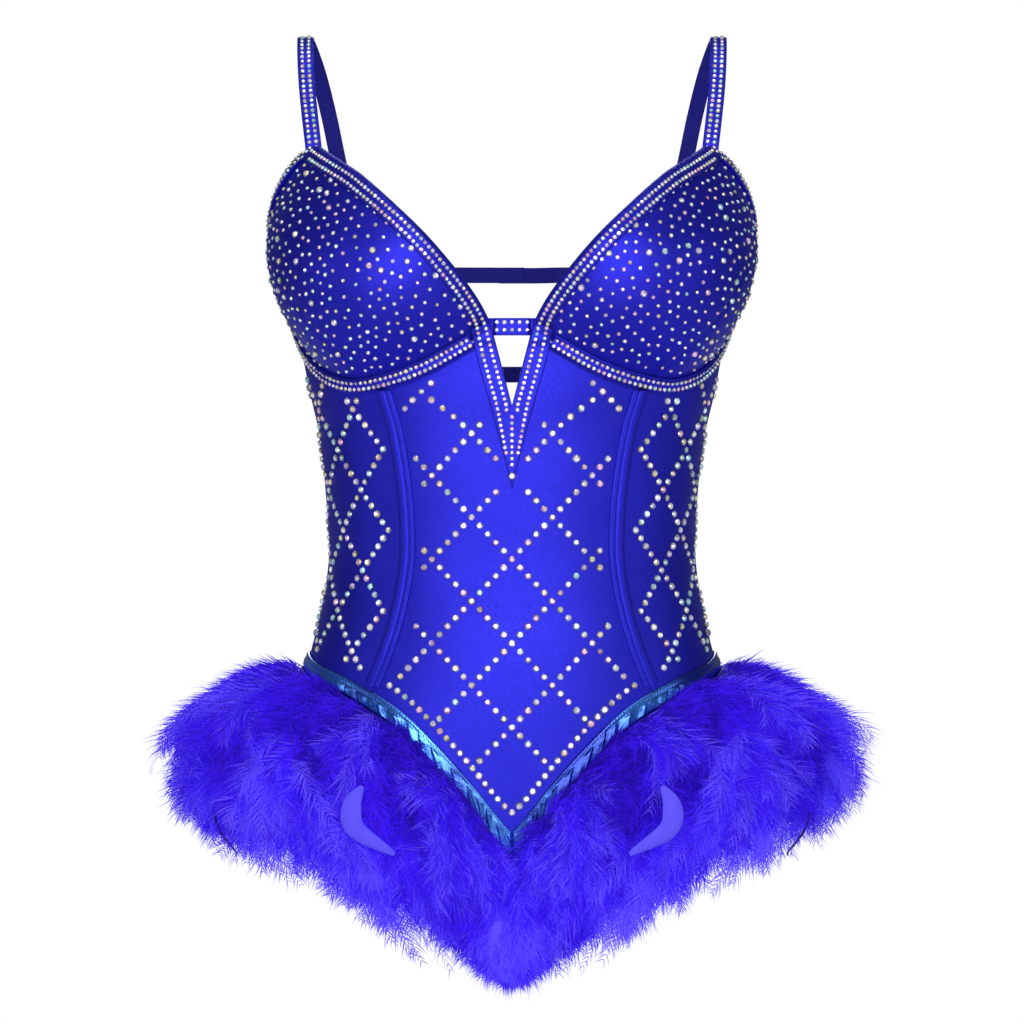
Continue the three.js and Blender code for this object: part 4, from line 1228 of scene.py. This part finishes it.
heights = np.concatenate([z[keep], rowHeights])
onSkin("centreLatticeStones", angles, heights, 0.0, lattice["radius"])

# Side panels: the same lattice round a column of crossings in front of the side seam
sideLattice = {"column": 57.0, "halfRound": 20.5, "halfHigh": 26.7, "crossing": 33.7}
for name, sign in sides.items():
    s, z = latticePlaces(sideLattice)
    keep = (np.abs(s) < 100) & (z > -95) & (z < 112)
    s, z = s[keep], z[keep]
    middle = roundArc(np.full(len(z), sideLattice["column"]), z)
    far = np.clip(middle + s, 5, None)
    a = angleAt(far, z, 0, 110)
    edge = roundArc(channelAngle(z), z)
    keep = (far > edge + lattice["clear"] + 4.5) & (a < 89) & (z < cupSeam(a) - 10) & (z > ribbonTop(a) + 6)
    onSkin(name + "SideLatticeStones", sign * a[keep], z[keep], 0.0, lattice["radius"])
print("stage: stones set", stoneCount)


# Stitches: short thread bars with rounded ends, sunk a little into the cloth
def stitchTemplate():
    turn = np.linspace(0, 2 * np.pi, 5, endpoint=False)
    rings = [(-0.5, 0.55), (-0.28, 1.0), (0.28, 1.0), (0.5, 0.55)]
    points = np.concatenate([np.stack([0 * turn + x, r * np.cos(turn), r * np.sin(turn)], -1) for x, r in rings])
    corners = np.concatenate([ringFaces(4, 5, False).ravel(), np.arange(5)[::-1], 15 + np.arange(5)])
    return points, (corners, np.concatenate([np.full(15, 4), [5, 5]]))


stitchPoints, stitchFaces = stitchTemplate()
stitchLook = {"length": 1.9, "radius": 0.3, "pitch": 2.9, "inBand": 4.1}


# A run of stitches along points on a surface, with normals; every bar lies between two neighbours
def stitchRun(line, normal):
    run = runAlong(line)
    at = np.arange(stitchLook["pitch"] / 2, run[-1], stitchLook["pitch"])
    place, up = readAlong(at, run, line), unit(readAlong(at, run, normal))
    axisX = unit(readAlong(at, run, np.gradient(line, run, axis=0)))
    axisY = unit(np.cross(up, axisX))
    size = np.array([[stitchLook["length"], stitchLook["radius"], stitchLook["radius"]]]) * np.ones((len(at), 1))
    return copies(stitchPoints, stitchFaces, place, axisX, axisY, np.cross(axisX, axisY), size)


def stitchPiece(name, runs, body="bodice"):
    points, faces = joinShapes(runs)
    return settle(meshPiece(name, points, faces, threadCord, sharp=0), body, "thread")


def besideRun(route, w, out):
    angle, z = beside(route, np.linspace(0, 1, 300), w)
    return stitchRun(skin(angle, z, out), outward(angle, z))


for name, sign in sides.items():
    inBand = stitchLook["inBand"]
    runs = [besideRun(channelRoute(sign, channelLow, channelHigh), w, gap + 0.8) for w in (-inBand, inBand)]
    runs.append(besideRun(cupRoute(sign, 12.5, 88), 4.5, gap + 0.7))
    runs.append(besideRun(necklineRoute(sign), inBand * sign, gap + 1.2))
    runs.append(besideRun(armholeRoute(sign), -1.9 * sign, gap + 1.2))
    runs += [besideRun(legRoute(sign), w, gap + 1.3) for w in (2.6, -2.6)]
    stitchPiece(name + "BodiceStitches", runs)
for name, (height, seat, hinge) in backStraps.items():
    fixed = ("Strap", 180 - strapLook["lap"] + 1, 360 - seat - 1, "bodice", 0)
    moving = ("Flap", hinge + 1, 184, name + "_flap", 1)
    for label, first, last, body, lifted in (fixed, moving):
        angle = np.linspace(first, last, 300)
        out = gap + strapLook["thickness"] - 0.15 + lapLift(angle) * lifted
        lines = [level(height + w)(angle) for w in (-strapLook["stitchLine"], strapLook["stitchLine"])]
        runs = [stitchRun(skin(angle, z, out), outward(angle, z)) for z in lines]
        stitchPiece(name + label + "Stitches", runs, body)
for name, sign in sides.items():
    line, along, across, facing, foot, rise = strapLines[name]
    pairs = [(w, turn) for w in (-shoulderLook["stitchLine"], shoulderLook["stitchLine"]) for turn in (-1, 1)]
    runs = [stitchRun(line + across * w + facing * 0.62 * turn, facing * turn) for w, turn in pairs]
    stitchPiece(name + "ShoulderStitches", runs)
print("stage: stitches sewn")


# Feathers: every shaft bends outwards and down from the ribbon; barbs leave it on both sides and curl
featherLook = {"perPiece": 500, "pairs": 25, "barbWidth": 0.54, "barbLength": 12.5, "clear": 3.0,
               "sideReach": 80, "frontReach": 34, "backReach": 45, "cuts": [0, 26, 52, 82, 126, 180],
               "names": ["front", "front_mid", "hip", "back_hip", "back"]}
# mid is the dyed colour; light and dark are painted highlight and painted shade for the feather clumps
featherTintsAndPaintedLight = {"mid": (0.055, 0.010, 0.80), "light": (0.14, 0.08, 1.0), "dark": (0.022, 0.002, 0.44)}
fluffProfile = through([(0, 0.42), (0.22, 0.86), (0.45, 1), (0.75, 0.84), (1, 0.5)])


# The fluff's outer face: its reach at an angle times a profile down its height
def fluffReach(angle, share):
    a = np.abs(angle)
    end = np.where(a < 90, featherLook["frontReach"], featherLook["backReach"])
    reach = end + (featherLook["sideReach"] - end) * np.sin(np.radians(np.clip(a, 0, 180))) ** 2
    return featherLook["clear"] + reach * fluffProfile(share)


def fluffTop(angle):            # just under the ribbon's lower edge
    return ribbonTop(angle) - ribbonHeight(angle) - 0.4


def fluffPoint(angle, share, out):
    top = fluffTop(np.abs(angle))
    return skin(angle, top + (featherHem(np.abs(angle)) - top) * share, out)


# Barbs of all feathers at once: each is a tapered strip of three steps along a curl, its colour painted darker at
# the root as painted shade and lighter at the tip as painted light through it
def barbs(root, direction, curl, vane, length, width, tintAndPaintedLight):
    steps = np.array([0, 0.36, 0.72, 1.0])
    t, long = steps[None, :, None], length[:, None, None]
    line = root[:, None] + direction[:, None] * (long * t) + curl[:, None] * (long * t ** 2)
    taper = np.array([0.8, 1.0, 0.62, 0])[None, :, None]
    wide = unit(np.cross(direction, vane))[:, None] * (width[:, None, None] * taper / 2)
    points = np.concatenate([line[:, :3] - wide[:, :3], line[:, :3] + wide[:, :3], line[:, 3:]], 1)
    face = np.array([0, 1, 4, 3, 1, 2, 5, 4, 2, 6, 5])
    corners = (face[None] + np.arange(len(root))[:, None] * 7).ravel()
    sizes = np.tile([4, 4, 3], len(root))
    # painted shade and light: darker where the barb leaves the shaft, lighter towards its tip
    shade = np.array([0.8, 0.95, 1.08, 0.8, 0.95, 1.08, 1.2])[None, :, None]
    return points.reshape(-1, 3), (corners, sizes), (tintAndPaintedLight[:, None] * shade).reshape(-1, 3)


# A stretch of feathers: each shaft is a curve on three points from root to tip, set by its place in a clump
def featherPiece(name, sign, first, last, node):
    count, pairs = featherLook["perPiece"], featherLook["pairs"]
    draw = np.random.default_rng(100 + int(first) + (7 if sign > 0 else 0))
    even = (np.arange(count) + draw.random(count)) / count
    angle = sign * (first + (last - first) * even)
    tier = draw.permutation(count) / count
    rootShare = 0.78 * tier ** 1.25 - 0.03
    clump = wrinkles(np.abs(angle) + 40, rootShare * 100 + 50, 61, 7.5, 17)
    tipShare = np.clip(rootShare + 0.12 + 0.2 * draw.random(count) + 0.34 * clump, 0.01, 0.93 + 0.32 * clump)
    rootOut = fluffReach(angle, np.clip(rootShare, 0, 1)) * (0.2 + 0.5 * draw.random(count))
    rootOut = np.where(rootShare < 0.06, 3.5 + 3 * draw.random(count), rootOut)
    tipOut = fluffReach(angle, tipShare) * (0.78 + 0.14 * draw.random(count) + 0.6 * clump)
    tipOut = tipOut * (0.86 + 0.14 * smooth(tipShare, 0.2, 0.5))
    swing = np.clip(draw.standard_normal(count) * 7, -13, 13)
    fromMiddle = np.minimum(np.abs(angle), 180 - np.abs(angle))
    swing = swing * (0.5 + 0.5 * np.minimum(1, fromMiddle / 14))
    a = fluffPoint(angle, rootShare, rootOut)
    b = fluffPoint(angle + swing * 0.4, (rootShare + tipShare) / 2 - 0.06, np.maximum(rootOut, tipOut) * 1.02)
    c = fluffPoint(angle + swing, tipShare, tipOut)
    s = np.linspace(0.06, 0.98, pairs)[None, :, None]
    shaft = a[:, None] * (1 - s) ** 2 + 2 * b[:, None] * s * (1 - s) + c[:, None] * s ** 2
    ahead = unit(2 * (b - a)[:, None] * (1 - s) + 2 * (c - b)[:, None] * s)
    out = unit(outward(angle, np.zeros(count)) * np.array([1, 1, 0]) + 0.9 * draw.standard_normal((count, 3)))
    side = unit(np.cross(ahead, out[:, None]))
    vane = np.cross(side, ahead)
    # painted highlight and shade mixed with random tone: feathers of clumps that reach further out get the light
    # tint, those in the hollows the dark
    clumpShadeAndTone = np.clip(0.5 + 0.9 * clump + 0.55 * (draw.random(count) - 0.5), 0, 1)
    tones = np.array([featherTintsAndPaintedLight[tone] for tone in ("dark", "mid", "light")])
    tintAndPaintedLight = tones[np.digitize(clumpShadeAndTone, (0.25, 0.66))] * (0.85 + 0.3 * draw.random((count, 1)))
    parts = []
    taper = np.sin(np.pi * (0.12 + 0.83 * s[:, :, 0])) ** 0.7
    for turn in (-1, 1):
        lean = 0.55 + 0.5 * draw.random((count, pairs, 1))
        direction = unit(turn * side + ahead * lean + 0.16 * draw.standard_normal((count, pairs, 3)))
        curl = 0.55 * ahead + 0.16 * draw.standard_normal((count, pairs, 3)) - np.array([0, 0, 0.12])
        long = featherLook["barbLength"] * taper * (0.55 + 0.7 * draw.random((count, pairs)))
        wide = featherLook["barbWidth"] * (0.7 + 0.6 * draw.random((count, pairs)))
        shades = np.repeat(tintAndPaintedLight[:, None], pairs, 1) * (0.94 + 0.12 * draw.random((count, pairs, 1)))
        rows = [np.broadcast_to(v, (count, pairs, 3)).reshape(-1, 3) for v in (shaft, direction, curl, vane)]
        parts.append(barbs(*rows, long.ravel(), wide.ravel(), shades.reshape(-1, 3)))
    # a downy core behind the barbs closes the trim; its colour, 0.6 of the dark feather tint, is a painted shade
    # for the depth of the fluff
    coreColumns, coreRows = 41, 31
    start, end = mirrored(sign, first + 0.12, last - 0.12)
    coreAngle, coreZ = panelGrid(start, end, featherHem, fluffTop, coreColumns, coreRows)
    down = np.linspace(1, 0, coreRows)[:, None] + 0 * coreAngle
    lumps = 1 + 0.5 * wrinkles(np.abs(coreAngle) * 2, down * 120 + 30, 31, 9, 11)
    coreOut = fluffReach(coreAngle, down) * (0.6 * lumps) * smooth(down, 0, 0.3) * smooth(1.02 - down, 0, 0.3)
    coreOut = np.maximum(coreOut, featherLook["clear"] + 4 * down + 1)
    coreZ = coreZ + 26 * down ** 2
    outerGrid = skin(coreAngle, coreZ, coreOut)
    innerGrid = skin(coreAngle, coreZ, featherLook["clear"] + 3.5 * down)
    corePoints, coreFaces = slabPoints(outerGrid, innerGrid), slabFaces(coreRows, coreColumns)
    parts.append((corePoints, (coreFaces.ravel(), np.full(len(coreFaces), 4)), 0.6 * tones[0] + 0 * corePoints))
    points, faces = joinShapes(parts)
    tintsAndPaintedLight = np.concatenate([part[2] for part in parts])
    colours = np.concatenate([np.clip(tintsAndPaintedLight, 0, 1), np.ones((len(tintsAndPaintedLight), 1))], -1)
    piece = meshPiece(name, points, faces, featherDown, sharp=0, colours=colours)
    return settle(piece, "bodice", "feather", node)


cuts = featherLook["cuts"]
for name, sign in sides.items():
    for part, first, last in zip(featherLook["names"], cuts, cuts[1:]):
        label = name + "Feathers" + part.title().replace("_", "")
        featherPiece(label, sign, first, last, f"{name}_feathers_{part}")


# Smooth blades among the fluff: a lens-shaped width along a curve of angle, height and distance out
bladeLook = {"across": 9, "thickness": 0.5, "arch": 0.18, "over": 3}
bladeTints = {"light": (0.11, 0.085, 0.85), "soft": (0.12, 0.08, 0.95), "quill": (0.004, 0.002, 0.1)}
blades = [("crescentBlade", [(37.0, -158), (38.2, -171), (37.4, -186), (30.0, -202)], 14.0, "light", (-1, 1)),
          ("hemBlade", [(4.0, -246), (4.5, -262), (2.5, -278), (-2.0, -292)], 17.0, "soft", (-1,)),
          ("quillTip", [(66.0, -178), (69.0, -196), (70.5, -209)], 3.0, "quill", (-1, 1))]
for label, path, widest, shade, turns in blades:
    for turn in turns:
        line = throughSpace([(a, h, 0) for a, h in path], 10)
        a, h = turn * line[:, 0], line[:, 1]
        top = ribbonTop(np.abs(a)) - ribbonHeight(a)
        share = np.clip((h - top) / (featherHem(np.abs(a)) - top), 0, 1)
        out = fluffReach(a, share) * 0.95 + bladeLook["over"]
        middle = skin(a, h, out)
        along = unit(np.gradient(middle, axis=0))
        facing = outward(a, h)
        across = unit(np.cross(facing, along))
        t = np.linspace(0, 1, len(middle))
        width = widest * np.sin(np.pi * (0.04 + 0.92 * t)) ** 0.8
        w = np.linspace(-0.5, 0.5, bladeLook["across"])[None, :, None]
        arch = facing[:, None] * (1 - 4 * w ** 2) * (bladeLook["arch"] * width)[:, None, None]
        outerGrid = middle[:, None] + across[:, None] * w * width[:, None, None] + arch
        innerGrid = outerGrid - facing[:, None] * bladeLook["thickness"]
        points, faces = slabPoints(outerGrid, innerGrid), slabFaces(len(middle), bladeLook["across"])
        colours = np.ones((len(points), 4))
        colours[:, :3] = bladeTints[shade]
        name = ("left" if turn > 0 else "right") + label.title()
        piece = meshPiece(name, points, faces, featherDown, sharp=60, colours=colours)
        settle(piece, "bodice", "feather")
print("stage: feathers fluffed")


# Light: one broad soft key close to the camera, dim sides, a pale floor and a white surround;
# each lamp has its place, its size and its power
lightLook = {"key": (0.0, -2.5, 0.35, 1.9, 37.0), "top": (0.0, -0.8, 1.9, 1.2, 9.0),
             "left": (1.9, -1.1, 0.4, 0.8, 3.5), "right": (-1.9, -1.1, 0.4, 0.8, 3.5),
             "back": (0.0, 2.3, 0.9, 1.6, 26.0)}
for name, (x, y, z, size, power) in lightLook.items():
    lamp = bpy.data.lights.new(name + "Light", "AREA")
    lamp.shape, lamp.size, lamp.energy = "DISK", size, power
    holder = bpy.data.objects.new(name + "Light", lamp)
    place = np.array([x, y, z])
    holder.location = place
    aim = unit(np.array([0, 0, 0.02]) - place)
    holder.rotation_euler = (np.pi / 2 + np.arcsin(aim[2]), 0, np.arctan2(-aim[0], aim[1]))
    bpy.context.scene.collection.objects.link(holder)
worldLook = {"colour": (0.8, 0.85, 1.0), "strength": 0.14}
world = bpy.data.worlds.new("studio")
bpy.context.scene.world = world
world.use_nodes = True
worldTree = world.node_tree
surround = worldTree.nodes["Background"]
surround.inputs["Color"].default_value = (*worldLook["colour"], 1)
surround.inputs["Strength"].default_value = worldLook["strength"]
white = addNode(worldTree, "ShaderNodeBackground", {"Color": (1, 1, 1, 1), "Strength": 1.0})
choose = addNode(worldTree, "ShaderNodeMixShader")
ray = addNode(worldTree, "ShaderNodeLightPath")
wire(worldTree, (ray.outputs["Is Camera Ray"], choose.inputs[0]), (surround.outputs[0], choose.inputs[1]),
     (white.outputs[0], choose.inputs[2]), (choose.outputs[0], worldTree.nodes["World Output"].inputs["Surface"]))

floorLook = {"height": -0.335, "half": 9.0, "shader": {"Base Color": (0.86, 0.86, 0.88, 1), "Roughness": 0.6}}
floorSheet, floorTree, floorShader = plainMaterial("paleFloor", floorLook["shader"])
paint = addNode(floorTree, "ShaderNodeEmission", {"Color": (1, 1, 1, 1), "Strength": 1.0})
mixFloor = addNode(floorTree, "ShaderNodeMixShader")
floorRay = addNode(floorTree, "ShaderNodeLightPath")
wire(floorTree, (floorRay.outputs["Is Camera Ray"], mixFloor.inputs[0]),
     (floorShader.outputs[0], mixFloor.inputs[1]), (paint.outputs[0], mixFloor.inputs[2]))
clearFloor = addNode(floorTree, "ShaderNodeBsdfTransparent")     # from underneath the floor can be seen through
underFloor = addNode(floorTree, "ShaderNodeMixShader")
floorSide = addNode(floorTree, "ShaderNodeNewGeometry")
wire(floorTree, (floorSide.outputs["Backfacing"], underFloor.inputs[0]),
     (mixFloor.outputs[0], underFloor.inputs[1]), (clearFloor.outputs[0], underFloor.inputs[2]),
     (underFloor.outputs[0], floorTree.nodes["Material Output"].inputs["Surface"]))
h, down = floorLook["half"] / mm, floorLook["height"] / mm
corners = np.array([(-h, -h, down), (h, -h, down), (h, h, down), (-h, h, down)])
floor = meshPiece("floor", corners, np.array([[0, 1, 2, 3]]), floorSheet, sharp=0)
bpy.context.scene.view_settings.view_transform = "Standard"
